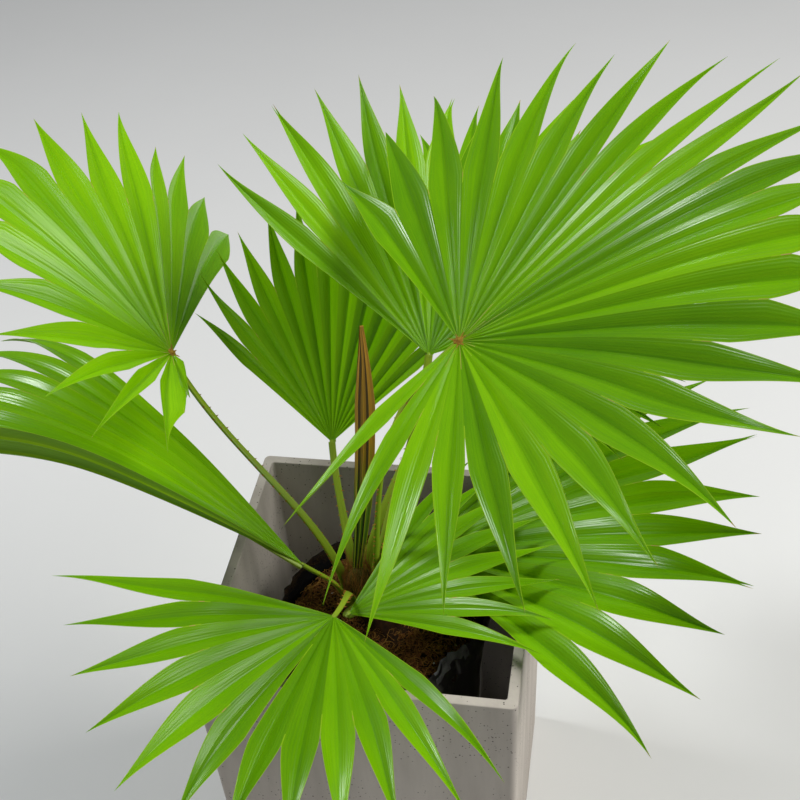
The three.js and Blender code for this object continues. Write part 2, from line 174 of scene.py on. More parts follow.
@dataclass
class NodeBook:
    """The node tree of a material or a group, with short ways to add nodes and link them."""

    tree: bpy.types.NodeTree

    def add(self, kind: str, settings: dict[str, object] | None = None,
            **inputs: object) -> bpy.types.Node:
        """Adds a node.

        Args:
            kind: its type, without ShaderNode before it.
            settings: its properties.
            inputs: as for feed.

        Returns:
            The node.
        """
        node = self.tree.nodes.new(kind if kind.startswith("Node") else f"ShaderNode{kind}")
        for name, value in (settings or {}).items():
            setattr(node, name, value)
        return self.feed(node, **inputs)

    def feed(self, node: bpy.types.Node, **inputs: object) -> bpy.types.Node:
        """Sets or links a node's inputs.

        Args:
            node: the node.
            inputs: a value or an output socket for each input, by its name with _ for a space, or
                by i and its place.

        Returns:
            The node.
        """
        for name, value in inputs.items():
            socket = node.inputs[int(name[1:]) if name[1:].isdigit() else name.replace("_", " ")]
            if isinstance(value, Socket):
                self.tree.links.new(value, socket)
            else:
                socket.default_value = value
        return node

    def math(self, operation: str, first: object, second: object = 0.0) -> Socket:
        """The result of an operation on two values or sockets."""
        return self.add("Math", {"operation": operation}, i0=first, i1=second).outputs[0]

    def noise(self, place: Socket, scale: float, detail: float,
              rough: float = 0.5) -> Socket:
        """The value of a noise texture at a place, with its scale, detail and roughness."""
        noisy = self.add("TexNoise", Vector=place, Scale=scale, Detail=detail, Roughness=rough)
        return noisy.outputs["Fac"]

    def spread(self, value: Socket, low: object = 0.36, high: object = 0.64) -> Socket:
        """A value spread out so that low becomes 0 and high becomes 1."""
        return self.add("MapRange", Value=value, From_Min=low, From_Max=high).outputs[0]

    def blend(self, share: Socket, first: object, second: object) -> Socket:
        """Two colours mixed, the second where the share is 1."""
        return self.add("Mix", {"data_type": "RGBA"}, i0=share, i6=first, i7=second).outputs[2]

    def chart(self) -> tuple[Socket, Socket]:
        """The place along and across a piece on its own map."""
        split = self.add("SeparateXYZ", Vector=self.add("TexCoord").outputs["UV"])
        return split.outputs["X"], split.outputs["Y"]

    def stretched(self, chart: tuple[Socket, Socket], along: float,
                  across: float) -> Socket:
        """The place on a piece's map, stretched by a factor along and one across."""
        factors = [self.math("MULTIPLY", part, factor) for part, factor in zip(chart, (along, across))]
        return self.add("CombineXYZ", X=factors[0], Y=factors[1]).outputs[0]


class Effects:
    """The shader node groups, each built once and placed in the materials that use it."""

    @staticmethod
    def group(name: str, inputs: dict[str, float],
              *outputs: str) -> tuple[NodeBook, bpy.types.Node, bpy.types.Node]:
        """Starts a group.

        Args:
            name: the group's name.
            inputs: its number inputs and their values.
            outputs: its number outputs.

        Returns:
            Its book, its input node and its output node.
        """
        tree = bpy.data.node_groups.new(name, "ShaderNodeTree")
        for label in (*inputs, *outputs):
            side = "INPUT" if label in inputs else "OUTPUT"
            socket = tree.interface.new_socket(name=label, in_out=side, socket_type="NodeSocketFloat")
            socket.default_value = inputs.get(label, 0.0)
        book = NodeBook(tree)
        return book, book.add("NodeGroupInput"), book.add("NodeGroupOutput")

    @staticmethod
    @cache
    def grain() -> bpy.types.NodeTree:
        """Clouded grain on object coordinates, stretched by a scale along each axis.

        Returns:
            The group's tree.
        """
        sizes = dict.fromkeys("XYZ", 60.0)
        book, given, made = Effects.group("clouded_grain", sizes, "Mask", "Height")
        place = book.add("TexCoord").outputs["Object"]
        scale = book.add("CombineXYZ", **{axis: given.outputs[axis] for axis in "XYZ"}).outputs[0]
        place = book.add("VectorMath", {"operation": "MULTIPLY"}, i0=place, i1=scale).outputs[0]
        fine, broad = book.noise(place, 1.0, 6.0, 0.62), book.noise(place, 0.13, 2.0)
        mixed = book.math("ADD", book.math("MULTIPLY", fine, 0.6), book.math("MULTIPLY", broad, 0.4))
        book.feed(made, Mask=book.spread(mixed), Height=fine)
        return book.tree

    @staticmethod
    @cache
    def veins() -> bpy.types.NodeTree:
        """Fine parallel veins along the piece's own map, with slow drifts of tone.

        Returns:
            The group's tree.
        """
        book, given, made = Effects.group("parallel_veins", {"Count": 38.0}, "Mask", "Height")
        chart = book.chart()
        wave = book.math("SINE", book.math("MULTIPLY", chart[1], given.outputs["Count"]))
        streaks = book.noise(book.stretched(chart, 7.0, 9.0), 1.0, 3.0, 0.6)
        clouds = book.noise(book.stretched(chart, 12.0, 0.8), 1.0, 2.0)
        tone = book.math("MULTIPLY", book.math("ADD", streaks, clouds), 0.5)
        height = book.math("ADD", book.math("MULTIPLY", wave, 0.3), streaks)
        book.feed(made, Mask=book.spread(tone), Height=height)
        return book.tree

    @staticmethod
    @cache
    def ripening() -> bpy.types.NodeTree:
        """A ragged change along the piece's own map, from 0 at its foot to 1 at its tip.

        Returns:
            The group's tree.
        """
        sizes = {"Start": 0.19, "End": 0.27, "Ragged": 0.22}
        book, given, made = Effects.group("ripening", sizes, "Mask", "Height")
        chart = book.chart()
        ragged = book.noise(book.stretched(chart, 22.0, 2.6), 1.0, 4.0, 0.6)
        shifted = book.math("ADD", chart[0], book.math("MULTIPLY", ragged, given.outputs["Ragged"]))
        change = book.spread(shifted, given.outputs["Start"], given.outputs["End"])
        book.feed(made, Mask=change, Height=ragged)
        return book.tree

    @staticmethod
    @cache
    def pits() -> bpy.types.NodeTree:
        """Small round pits, thinly scattered, with a mask that is 1 inside them.

        Returns:
            The group's tree.
        """
        sizes = {"Count": 290.0, "Size": 0.24, "Bare": 0.30}
        book, given, made = Effects.group("small_pits", sizes, "Mask")
        place = book.add("TexCoord").outputs["Object"]
        cells = book.add("TexVoronoi", Vector=place, Scale=given.outputs["Count"])
        chance = book.add("SeparateColor", Color=cells.outputs["Color"])
        radius = book.math("MULTIPLY", chance.outputs[0], given.outputs["Size"])
        inside = book.math("LESS_THAN", cells.outputs["Distance"], radius)
        kept = book.math("GREATER_THAN", chance.outputs[1], given.outputs["Bare"])
        book.feed(made, Mask=book.math("MULTIPLY", inside, kept))
        return book.tree


@cache
def paint(choice: Leaf | Stuff) -> bpy.types.Material:
    """A finish's material, made once.

    Args:
        choice: the finish's Enum member.

    Returns:
        Its material.
    """
    finish = choice.value
    material = bpy.data.materials.new(finish.name)
    material.use_nodes = True
    material.diffuse_color = (*finish.light, 1.0)
    book = NodeBook(material.node_tree)
    shader = material.node_tree.nodes["Principled BSDF"]
    book.feed(shader, Specular_IOR_Level=finish.specular, Coat_Weight=finish.coat)
    if finish.glow:
        book.feed(shader, Subsurface_Weight=finish.glow, Subsurface_Scale=GLOW_DEPTH,
                  Subsurface_Radius=GLOW_SPREAD)
    makers = {Pattern.VEINS: Effects.veins, Pattern.RIPEN: Effects.ripening}
    effect = book.add("Group", {"node_tree": makers.get(finish.pattern, Effects.grain)()})
    if finish.pattern in (Pattern.GRAIN, Pattern.PITS):
        book.feed(effect, **dict(zip("XYZ", finish.scale)))
    mask, height = effect.outputs["Mask"], effect.outputs["Height"]
    base = book.blend(mask, (*finish.dark, 1.0), (*finish.light, 1.0))
    if finish.pattern is Pattern.PITS:
        # Inside the pits the colour is darkened, a painted shade, and the bump sinks them.
        pit = book.add("Group", {"node_tree": Effects.pits()}).outputs["Mask"]
        base = book.blend(pit, base, PIT_SHADE_COLOUR)
        height = book.math("SUBTRACT", height, pit)
    low, high = finish.rough
    rough = book.add("MapRange", Value=mask, To_Min=high, To_Max=low).outputs[0]
    book.feed(shader, Base_Color=base, Roughness=rough)
    if finish.relief:
        bump = book.add("Bump", Strength=BUMP, Distance=finish.relief * MM, Height=height)
        book.feed(shader, Normal=bump.outputs[0])
    return material


# ---------------------------------------------------------------- making meshes


class Bench:
    """Modelling by hand: primitives shaped in edit mode and finished with modifiers."""

    @staticmethod
    def clear() -> None:
        """Leaves nothing selected."""
        if bpy.context.object and bpy.context.object.mode != "OBJECT":
            bpy.ops.object.mode_set(mode="OBJECT")
        bpy.ops.object.select_all(action="DESELECT")

    @staticmethod
    def take(piece: Piece) -> None:
        """Selects one piece alone and makes it active.

        Args:
            piece: the piece.
        """
        Bench.clear()
        piece.select_set(True)
        bpy.context.view_layer.objects.active = piece

    @staticmethod
    def turned(name: str, profile: Profile, sides: int) -> Piece:
        """Makes a closed round piece from a circle, extruded through a row of radii and levels.

        Args:
            name: the piece's name.
            profile: radius and level of each ring, in millimetres, from the foot to the top.
            sides: how many points a ring has.

        Returns:
            The piece.
        """
        Bench.clear()
        (radius, level), *others = [(wide * MM, high * MM) for wide, high in profile]
        bpy.ops.mesh.primitive_circle_add(vertices=sides, radius=radius, fill_type="NGON",
                                          location=(0.0, 0.0, level))
        piece = bpy.context.object
        piece.name = piece.data.name = name
        bpy.ops.object.mode_set(mode="EDIT")
        bpy.ops.mesh.select_all(action="SELECT")
        for wider, higher in others:
            bpy.ops.mesh.extrude_region_move(TRANSFORM_OT_translate={"value": (0.0, 0.0, higher - level)})
            share = wider / radius
            bpy.ops.transform.resize(value=(share, share, 1.0), center_override=(0.0, 0.0, higher))
            radius, level = wider, higher
        bpy.ops.object.mode_set(mode="OBJECT")
        return piece

    @staticmethod
    def edit(piece: Piece, test: Callable[[bmesh.types.BMFace], bool]) -> None:
        """Enters edit mode with only the faces that pass a test selected.

        Args:
            piece: the piece.
            test: says which faces are wanted.
        """
        Bench.take(piece)
        bpy.ops.object.mode_set(mode="EDIT")
        bpy.ops.mesh.select_mode(type="FACE")
        bpy.ops.mesh.select_all(action="DESELECT")
        shape = bmesh.from_edit_mesh(piece.data)
        for face in shape.faces:
            face.select_set(test(face))
        bmesh.update_edit_mesh(piece.data)

    @staticmethod
    def modify(piece: Piece, kind: str, **settings: object) -> None:
        """Adds a modifier and applies it.

        Args:
            piece: the piece.
            kind: the modifier's type.
            settings: its properties.
        """
        Bench.take(piece)
        modifier = piece.modifiers.new(kind.lower(), kind)
        for name, value in settings.items():
            setattr(modifier, name, value)
        bpy.ops.object.modifier_apply(modifier=modifier.name)

    @staticmethod
    def settle(piece: Piece, angle: float, *finishes: Stuff) -> None:
        """Puts a piece's place into its mesh, smooths it and gives it its finishes.

        Args:
            piece: the piece.
            angle: edges sharper than this many degrees stay sharp.
            finishes: its finishes.
        """
        Bench.take(piece)
        bpy.ops.object.transform_apply(location=True, rotation=True, scale=True)
        bpy.ops.object.shade_smooth_by_angle(angle=math.radians(angle))
        Bench.clear()
        for finish in finishes:
            piece.data.materials.append(paint(finish))

    @staticmethod
    def face_out(piece: Piece) -> None:
        """Recalculates a piece's normals so that they point outwards.

        Args:
            piece: the piece.
        """
        Bench.take(piece)
        bpy.ops.object.mode_set(mode="EDIT")
        bpy.ops.mesh.select_all(action="SELECT")
        bpy.ops.mesh.remove_doubles(threshold=1e-6)
        bpy.ops.mesh.normals_make_consistent(inside=False)
        bpy.ops.object.mode_set(mode="OBJECT")


@dataclass
class Batch:
    """One piece made in mesh code: its points, faces, map points and the finish of each face."""

    finishes: Sequence[Leaf | Stuff]
    points: list[Array] = field(default_factory=list)
    maps: list[Array] = field(default_factory=list)
    faces: list[list[int]] = field(default_factory=list)
    dealt: list[int] = field(default_factory=list)
    count: int = 0

    def add(self, points: Array, maps: Array, faces: Array, dealt: Array | int) -> int:
        """Adds points and faces.

        Args:
            points: n by 3 places in metres.
            maps: n by 2 map points.
            faces: m by 3 or 4 indices into points.
            dealt: the finish's place in the list, for all faces or for each.

        Returns:
            How many points were there before.
        """
        self.points.append(points)
        self.maps.append(maps)
        self.faces.extend((faces + self.count).tolist())
        self.dealt.extend(np.broadcast_to(dealt, len(faces)).tolist())
        self.count += len(points)
        return self.count - len(points)

    def close(self, loops: Sequence[Array], dealt: int) -> None:
        """Adds faces over points that are there.

        Args:
            loops: the points' places in the whole piece, for each face.
            dealt: the finish's place in the list.
        """
        self.faces.extend(loop.tolist() for loop in loops)
        self.dealt.extend([dealt] * len(loops))

    def build(self, name: str, angle: float = 35.0) -> Piece:
        """Makes the piece, with points that fall together welded.

        Args:
            name: the piece's name.
            angle: edges sharper than this many degrees stay sharp.

        Returns:
            The piece.
        """
        mesh = bpy.data.meshes.new(name)
        mesh.from_pydata(np.concatenate(self.points).tolist(), [], self.faces)
        mesh.polygons.foreach_set("material_index", np.array(self.dealt, dtype=np.int32))
        corner = np.empty(len(mesh.loops), dtype=np.int32)
        mesh.loops.foreach_get("vertex_index", corner)
        layer = mesh.uv_layers.new(name="UVMap")
        layer.data.foreach_set("uv", np.concatenate(self.maps)[corner].astype(np.float32).ravel())
        for finish in self.finishes:
            mesh.materials.append(paint(finish))
        shape = bmesh.new()
        shape.from_mesh(mesh)
        bmesh.ops.remove_doubles(shape, verts=shape.verts, dist=1e-6)
        shape.to_mesh(mesh)
        shape.free()
        piece = bpy.data.objects.new(name, mesh)
        bpy.context.scene.collection.objects.link(piece)
        Bench.settle(piece, angle)
        return piece


class Weave:
    """Shapes for a Batch: tubes along rows of points."""

    @staticmethod
    def frames(path: Array, face: Array) -> tuple[Array, Array, Array]:
        """Directions along a path.

        Args:
            path: k by n by 3 points of k paths.
            face: wanted upward directions, of the same shape or one that spreads to it.

        Returns:
            Along, sideways and up at each point.
        """
        along = Weave.unit(np.gradient(path, axis=1))
        sideways = Weave.unit(np.cross(along, face))
        return along, sideways, np.cross(sideways, along)

    @staticmethod
    def unit(vectors: Array) -> Array:
        """The vectors at length 1."""
        return vectors / np.maximum(np.linalg.norm(vectors, axis=-1, keepdims=True), 1e-12)

    @staticmethod
    def tubes(batch: Batch, path: Array, face: Array, section: Array,
              size: Array, dealt: int) -> None:
        """Adds closed tubes.

        Args:
            batch: takes the tubes.
            path: k by n by 3 points.
            face: the way the section's second axis points.
            section: m by 2 outline, turning from the first axis to the second.
            size: k by n by 2 half widths and half heights in metres.
            dealt: the finish's place in the batch's list.
        """
        tubes, steps = path.shape[:2]
        sides = len(section)
        _, sideways, up = Weave.frames(path, face)
        width = section[None, None, :, 0] * size[..., 0:1]
        height = section[None, None, :, 1] * size[..., 1:2]
        points = (path[:, :, None] + width[..., None] * sideways[:, :, None]
                  + height[..., None] * up[:, :, None])
        length = np.linalg.norm(np.diff(path, axis=1), axis=-1).cumsum(axis=1)
        length = np.concatenate([np.zeros((tubes, 1)), length], axis=1)
        maps = np.empty((tubes, steps, sides, 2))
        maps[..., 0] = length[..., None]
        maps[..., 1] = np.arange(sides) / sides * 2.0
        Weave.loft(batch, points, maps, dealt)

    @staticmethod
    def loft(batch: Batch, points: Array, maps: Array, dealt: int) -> None:
        """Adds pieces skinned over rings and closed at both ends.

        Args:
            batch: takes them.
            points: k by n by m by 3 places, m round each ring of a piece.
            maps: their map points.
            dealt: the finish's place in the batch's list.
        """
        index = np.arange(points.size // 3).reshape(points.shape[:3])
        after = np.roll(index, -1, axis=2)
        quads = np.stack([index[:, :-1], index[:, 1:], after[:, 1:], after[:, :-1]], axis=-1)
        start = batch.add(points.reshape(-1, 3), maps.reshape(-1, 2), quads.reshape(-1, 4), dealt)
        for rings in index + start:
            batch.close((rings[0], rings[-1, ::-1]), dealt)

    @staticmethod
    def length(path: Array) -> float:
        """The length of a row of points."""
        return float(np.linalg.norm(np.diff(path, axis=0), axis=-1).sum())

    @staticmethod
    def round(sides: int) -> Array:
        """A round section, turned so that its faces look outwards.

        Args:
            sides: how many points it has.

        Returns:
            The outline.
        """
        turn = np.arange(sides) / sides * 2.0 * np.pi
        return np.stack([np.cos(turn), np.sin(turn)], axis=-1)


def noise_at(*spot: float) -> float:
    """Noise at a place, from about -1 to 1."""
    return noise.noise(Vector(spot))


def relief(x: float, y: float, layers: Layers) -> float:
    """The height over a place in metres, summed over layers of noise."""
    return sum(high * noise_at(x * often, y * often, level) for high, often, level in layers)


def place(piece: Piece, slot: str, *nodes: str) -> None:
    """Parents a piece to the body's empty, so that it rides on the body, and hides the CAD nodes that it
    stands for.

    Args:
        piece: the piece.
        slot: not used.
        nodes: the CAD nodes that it stands for.
    """
    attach(piece, BODY)
    if nodes:
        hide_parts(*nodes)
    LOG.info("%s: %d faces", piece.name, len(piece.data.polygons))


# ---------------------------------------------------------------- planter and root ball


@dataclass
class Planter:
    """The square concrete planter, tapered, with eased edges."""

    width: float = 300.0
    foot_width: float = 285.0
    height: float = 400.0
    wall: float = 10.0
    floor: float = 12.0
    corner: float = 6.0
    arris: float = 1.2

    def build(self) -> None:
        """Makes the planter from a cube: taper, corners, hollow, then eased edges."""
        Bench.clear()
        bpy.ops.mesh.primitive_cube_add(size=1.0, location=(0.0, 0.0, self.height / 2 * MM))
        piece = bpy.context.object
        piece.name = piece.data.name = "planter_body"
        piece.scale = (self.foot_width * MM, self.foot_width * MM, self.height * MM)
        bpy.ops.object.transform_apply(location=True, rotation=True, scale=True)
        share = self.width / self.foot_width
        top = self.height * MM
        Bench.edit(piece, lambda face: face.normal.z > 0.9)
        bpy.ops.transform.resize(value=(share, share, 1.0), center_override=(0.0, 0.0, top))
        bpy.ops.mesh.inset(thickness=self.wall * MM)
        depth = self.height - self.floor
        bpy.ops.mesh.extrude_region_move(TRANSFORM_OT_translate={"value": (0.0, 0.0, -depth * MM)})
        inner = self.width - 2 * self.wall
        shrink = (inner - (self.width - self.foot_width)) / inner
        bpy.ops.transform.resize(value=(shrink, shrink, 1.0), center_override=(0.0, 0.0, self.floor * MM))
        for reach, offset in ((0.0, self.corner), (-self.wall, self.corner / 2)):
            self._select_uprights(piece, (self.foot_width / 2 + reach) * MM)
            bpy.ops.mesh.bevel(offset=offset * MM, segments=5, affect="EDGES")
        bpy.ops.object.mode_set(mode="OBJECT")
        Bench.modify(piece, "BEVEL", width=self.arris * MM, segments=3, limit_method="ANGLE",
                     angle_limit=math.radians(50.0))
        Bench.settle(piece, 35.0, Stuff.CONCRETE)
        place(piece, "concrete", "concrete_pot")

    @staticmethod
    def _select_uprights(piece: Piece, reach: float) -> None:
        """Selects four of the upright edges, in edit mode.

        Args:
            piece: the planter.
            reach: how far the edges' lower ends are from the middle along X, in metres.
        """
        bpy.ops.mesh.select_mode(type="EDGE")
        bpy.ops.mesh.select_all(action="DESELECT")
        shape = bmesh.from_edit_mesh(piece.data)
        for edge in shape.edges:
            low, high = sorted((vertex.co for vertex in edge.verts), key=lambda spot: spot.z)
            edge.select_set(high.z - low.z > 0.1 and abs(abs(low.x) - reach) < 0.003)
        bmesh.update_edit_mesh(piece.data)


@dataclass
class NurseryBag:
    """The thin black bag round the root ball, its lip folded out and down.

    bend has the points where the lip turns over, as reach and drop from the mouth and the lip.
    crumple is how deep the film is pressed, creases has a share of it and how often it turns
    round the bag and upwards, and waves and wave_height shape the lip. The film is loosest
    loose_over above loose_from.
    fold_turn is where round the bag, in radians, the lip falls inwards, with fold_spread its width
    and fold_reach how far it falls. Above fold_level, the faces of the fold that look upwards get a
    painted highlight, a grey film colour.
    """

    foot: float = 90.0
    mouth: float = 101.0
    bottom: float = 12.4
    lip: float = 343.0
    bend: Profile = ((0.6, 2.0), (1.6, 0.0), (2.8, 1.5))
    cuff: float = 24.0
    film: float = 0.5
    crumple: float = 4.5
    creases: Layers = ((1.3, 4.0, 30.0), (0.9, 11.0, 90.0))
    waves: Layers = ((1.0, 2.4, 7.0), (0.7, 7.0, 3.0))
    wave_height: float = 6.0
    loose_from: float = 270.0
    loose_over: float = 70.0
    fold_turn: float = -0.62
    fold_spread: float = 0.30
    fold_reach: float = 17.0
    fold_level: float = 331.0

    def build(self) -> None:
        """Extrudes the bag from a circle, crumples it and gives it the film's thickness."""
        wider, rise = self.mouth - self.foot, self.lip - 6.0 - self.bottom
        rings = [(self.foot * 0.96, self.bottom), (self.foot, self.bottom + 4.0)]
        rings += [(self.foot + wider * k / 16, self.bottom + rise * k / 16) for k in range(1, 17)]
        rings += [(self.mouth + out, self.lip - down) for out, down in self.bend]
        rings += [(self.mouth + 3.2, self.lip - self.cuff * k / 4) for k in range(1, 5)]
        piece = Bench.turned("nursery_bag_film", rings, 144)
        Bench.edit(piece, lambda face: len(face.verts) > 4 and face.calc_center_median().z > 0.1)
        bpy.ops.mesh.delete(type="FACE")
        bpy.ops.object.mode_set(mode="OBJECT")
        self._crumple(piece)
        Bench.face_out(piece)
        Bench.modify(piece, "SOLIDIFY", thickness=self.film * MM, offset=0.0)
        Bench.settle(piece, 60.0, Stuff.BAG, Stuff.BAG_PAINTED_HIGHLIGHT)
        # Faces of the fold near its top that look upwards take the grey finish, a painted highlight.
        for face in piece.data.polygons:
            turn = math.atan2(face.center.y, face.center.x)
            near = abs(turn - self.fold_turn) < self.fold_spread * 0.8
            high = face.center.z > self.fold_level * MM
            face.material_index = int(near and high and face.normal.z > 0.25)
        place(piece, "bag_plastic", "nursery_bag")

    def _crumple(self, piece: Piece) -> None:
        """Moves the film's points in and out, most at the lip.

        Args:
            piece: the bag.
        """
        for vertex in piece.data.vertices:
            spot = vertex.co
            radius = math.hypot(spot.x, spot.y)
            if radius < self.foot * MM * 0.99:
                continue
            turn = math.atan2(spot.y, spot.x)
            x, y = math.cos(turn), math.sin(turn)
            push = sum(deep * abs(noise_at(x * around, y * around, spot.z * upward))
                       for deep, around, upward in self.creases)
            high = min(1.0, max(0.0, (spot.z / MM - self.loose_from) / self.loose_over))
            radius += self.crumple * MM * (push - 0.25) * (0.15 + 0.85 * high)
            flop = high ** 2 * math.exp(-((turn - self.fold_turn) / self.fold_spread) ** 2)
            crease = noise_at(turn * 9.0, spot.z * 40.0, 2.0)
            radius -= flop * (self.fold_reach + 9.0 * crease) * MM
            spot.x, spot.y = radius * x, radius * y
            spot.z += flop * (2.0 + 5.0 * crease) * MM
            spot.z += high ** 3 * self.wave_height * MM * min(0.4, relief(x, y, self.waves))


@dataclass
class RootBall:
    """The coir that fills the bag: an uneven top with strands, chips and a few crumbs on it.

    The top is lumpy and flat as far out as flat, and drops by edge_drop to its edge. strand_length,
    strand_lift, strand_radius, chip_size and crumb_size are what each one's sizes are drawn from.
    """

    foot: float = 87.0
    top_radius: float = 97.0
    bottom: float = 15.0
    side: float = 318.0
    level: float = 329.0
    edge: float = 95.0
    edge_drop: float = 8.0
    flat: float = 66.0
    highest: float = 1.5
    lumps: Layers = ((3.4, 28.0, 1.0), (3.0, 110.0, 4.0))
    strands: int = 1300
    chips: int = 3400
    crumbs: int = 10
    strand_length: tuple[float, float] = (6.0, 26.0)
    strand_lift: tuple[float, float] = (0.6, 3.6)
    strand_radius: tuple[float, float] = (0.13, 0.36)
    strand_wave: float = 1.6
    curl: float = 2.2
    chip_size: tuple[float, float] = (0.8, 3.0)
    crumb_size: tuple[float, float] = (1.4, 2.6)
    seed: int = 5

    def height_at(self, x: float, y: float) -> float:
        """The uneven top's height.

        Args:
            x: place in metres.
            y: place in metres.

        Returns:
            Height in metres.
        """
        beyond = (math.hypot(x, y) / MM - self.flat) / (self.edge + 1.0 - self.flat)
        fall = max(0.0, beyond) ** 1.3 * self.edge_drop
        return (self.level - fall + min(self.highest, relief(x, y, self.lumps))) * MM

    def build(self) -> None:
        """Makes the bed, then what lies on it."""
        shares = (0.985, 0.95, 0.9, 0.85, *(0.8 - 0.06 * k for k in range(13)), 0.03)
        rings = [(self.foot, self.bottom), (self.top_radius, self.side)]
        rings += [(self.top_radius * share, self.side + 0.5 + k) for k, share in enumerate(shares)]
        piece = Bench.turned("coir_bed", rings, 120)
        for vertex in piece.data.vertices:
            if vertex.co.z > (self.side + 0.4) * MM:
                vertex.co.z = self.height_at(vertex.co.x, vertex.co.y)
        Bench.face_out(piece)
        Bench.settle(piece, 70.0, Stuff.COIR)
        place(piece, "coir", "coir_soil")
        self._litter()

    def _litter(self) -> None:
        """Scatters strands, chips and crumbs over the bed."""
        chance = np.random.default_rng(self.seed)
        batch = Batch((Stuff.STRAND, Stuff.CHIP, Stuff.PERLITE))
        steps = 7
        spot = self._spots(chance, self.strands)
        turn = chance.uniform(0.0, 2 * np.pi, self.strands)
        bend = chance.normal(0.0, self.curl, self.strands)
        length = chance.uniform(*self.strand_length, self.strands) * MM
        share = np.linspace(-0.5, 0.5, steps)
        heading = turn[:, None] + bend[:, None] * share
        reach = share * length[:, None]
        path = np.empty((self.strands, steps, 3))
        path[..., 0] = spot[:, 0:1] + np.cos(heading) * reach
        path[..., 1] = spot[:, 1:2] + np.sin(heading) * reach
        lift = chance.uniform(*self.strand_lift, (self.strands, 1))
        lift = (lift + self.strand_wave * chance.random((self.strands, steps))) * MM
        away = np.hypot(path[..., 0], path[..., 1])[..., None]
        path[..., :2] *= np.minimum(1.0, self.edge * MM / away)
        level = [self.height_at(x, y) for x, y in path[..., :2].reshape(-1, 2)]
        path[..., 2] = np.reshape(level, lift.shape) + lift
        thin = chance.uniform(*self.strand_radius, (self.strands, 1, 1)) * np.full((steps, 2), MM)
        Weave.tubes(batch, path, np.array([0.0, 0.0, 1.0]), Weave.round(3), thin, 0)
        self._flakes(batch, chance, self.chips, self.chip_size, 0.7, 1)
        self._flakes(batch, chance, self.crumbs, self.crumb_size, 0.8, 2)
        place(batch.build("coir_litter"), "coir")

    def _spots(self, chance: np.random.Generator, count: int) -> Array:
        """Places spread evenly over the bed.

        Args:
            chance: the seeded source.
            count: how many.

        Returns:
            count by 2 places in metres.
        """
        radius = (self.edge - 1.0) * MM * np.sqrt(chance.random(count))
        turn = chance.uniform(0.0, 2 * np.pi, count)
        return np.stack([radius * np.cos(turn), radius * np.sin(turn)], axis=-1)

    def _flakes(self, batch: Batch, chance: np.random.Generator, count: int,
                sizes: tuple[float, float], flat: float, dealt: int) -> None:
        """Adds small irregular eight-faced lumps.

        Args:
            batch: takes them.
            chance: the seeded source.
            count: how many.
            sizes: smallest and largest radius.
            flat: their height as a share of their width.
            dealt: the finish's place in the batch's list.
        """
        corner = np.array([[1, 0, 0], [0, 1, 0], [-1, 0, 0], [0, -1, 0], [0, 0, 1], [0, 0, -1]], float)
        turns = [(k, (k + 1) % 4) for k in range(4)]
        face = np.array([(k, after, 4) for k, after in turns] + [(after, k, 5) for k, after in turns])
        for x, y in self._spots(chance, count):
            turn = Matrix.Rotation(chance.uniform(0, 6.3), 3, "Z")
            turn @= Matrix.Rotation(chance.normal(0, 0.5), 3, "X")
            size = chance.uniform(*sizes) * MM * chance.uniform(0.6, 1.4, 3) * (1.0, 1.0, flat)
            points = (corner * size * chance.uniform(0.8, 1.2, (6, 1))) @ np.array(turn).T
            points += (x, y, self.height_at(x, y) + size[2] * 0.5)
            batch.add(points, points[:, :2], face, dealt)


# ---------------------------------------------------------------- fronds


@dataclass(frozen=True)
class Foot:
    """Where a petiole starts: its angle round the stem and its height above the soil."""

    angle: float
    height: float


class Joins(Enum):
    """From which side a petiole meets its hub."""

    BELOW = "below"
    BEHIND = "behind"


CREST_SPREAD = 24
LEAST_FUSED = 0.1
BUNCH_PLACE = 0.54
RIB_STEPS = 66
RIB_REACH = 1.1
BILLOWS = ((1.0, 3.1, 1.3, 1.0), (1.0, 2.2, -3.4, 2.3), (0.6, -1.7, 5.3, 0.7))


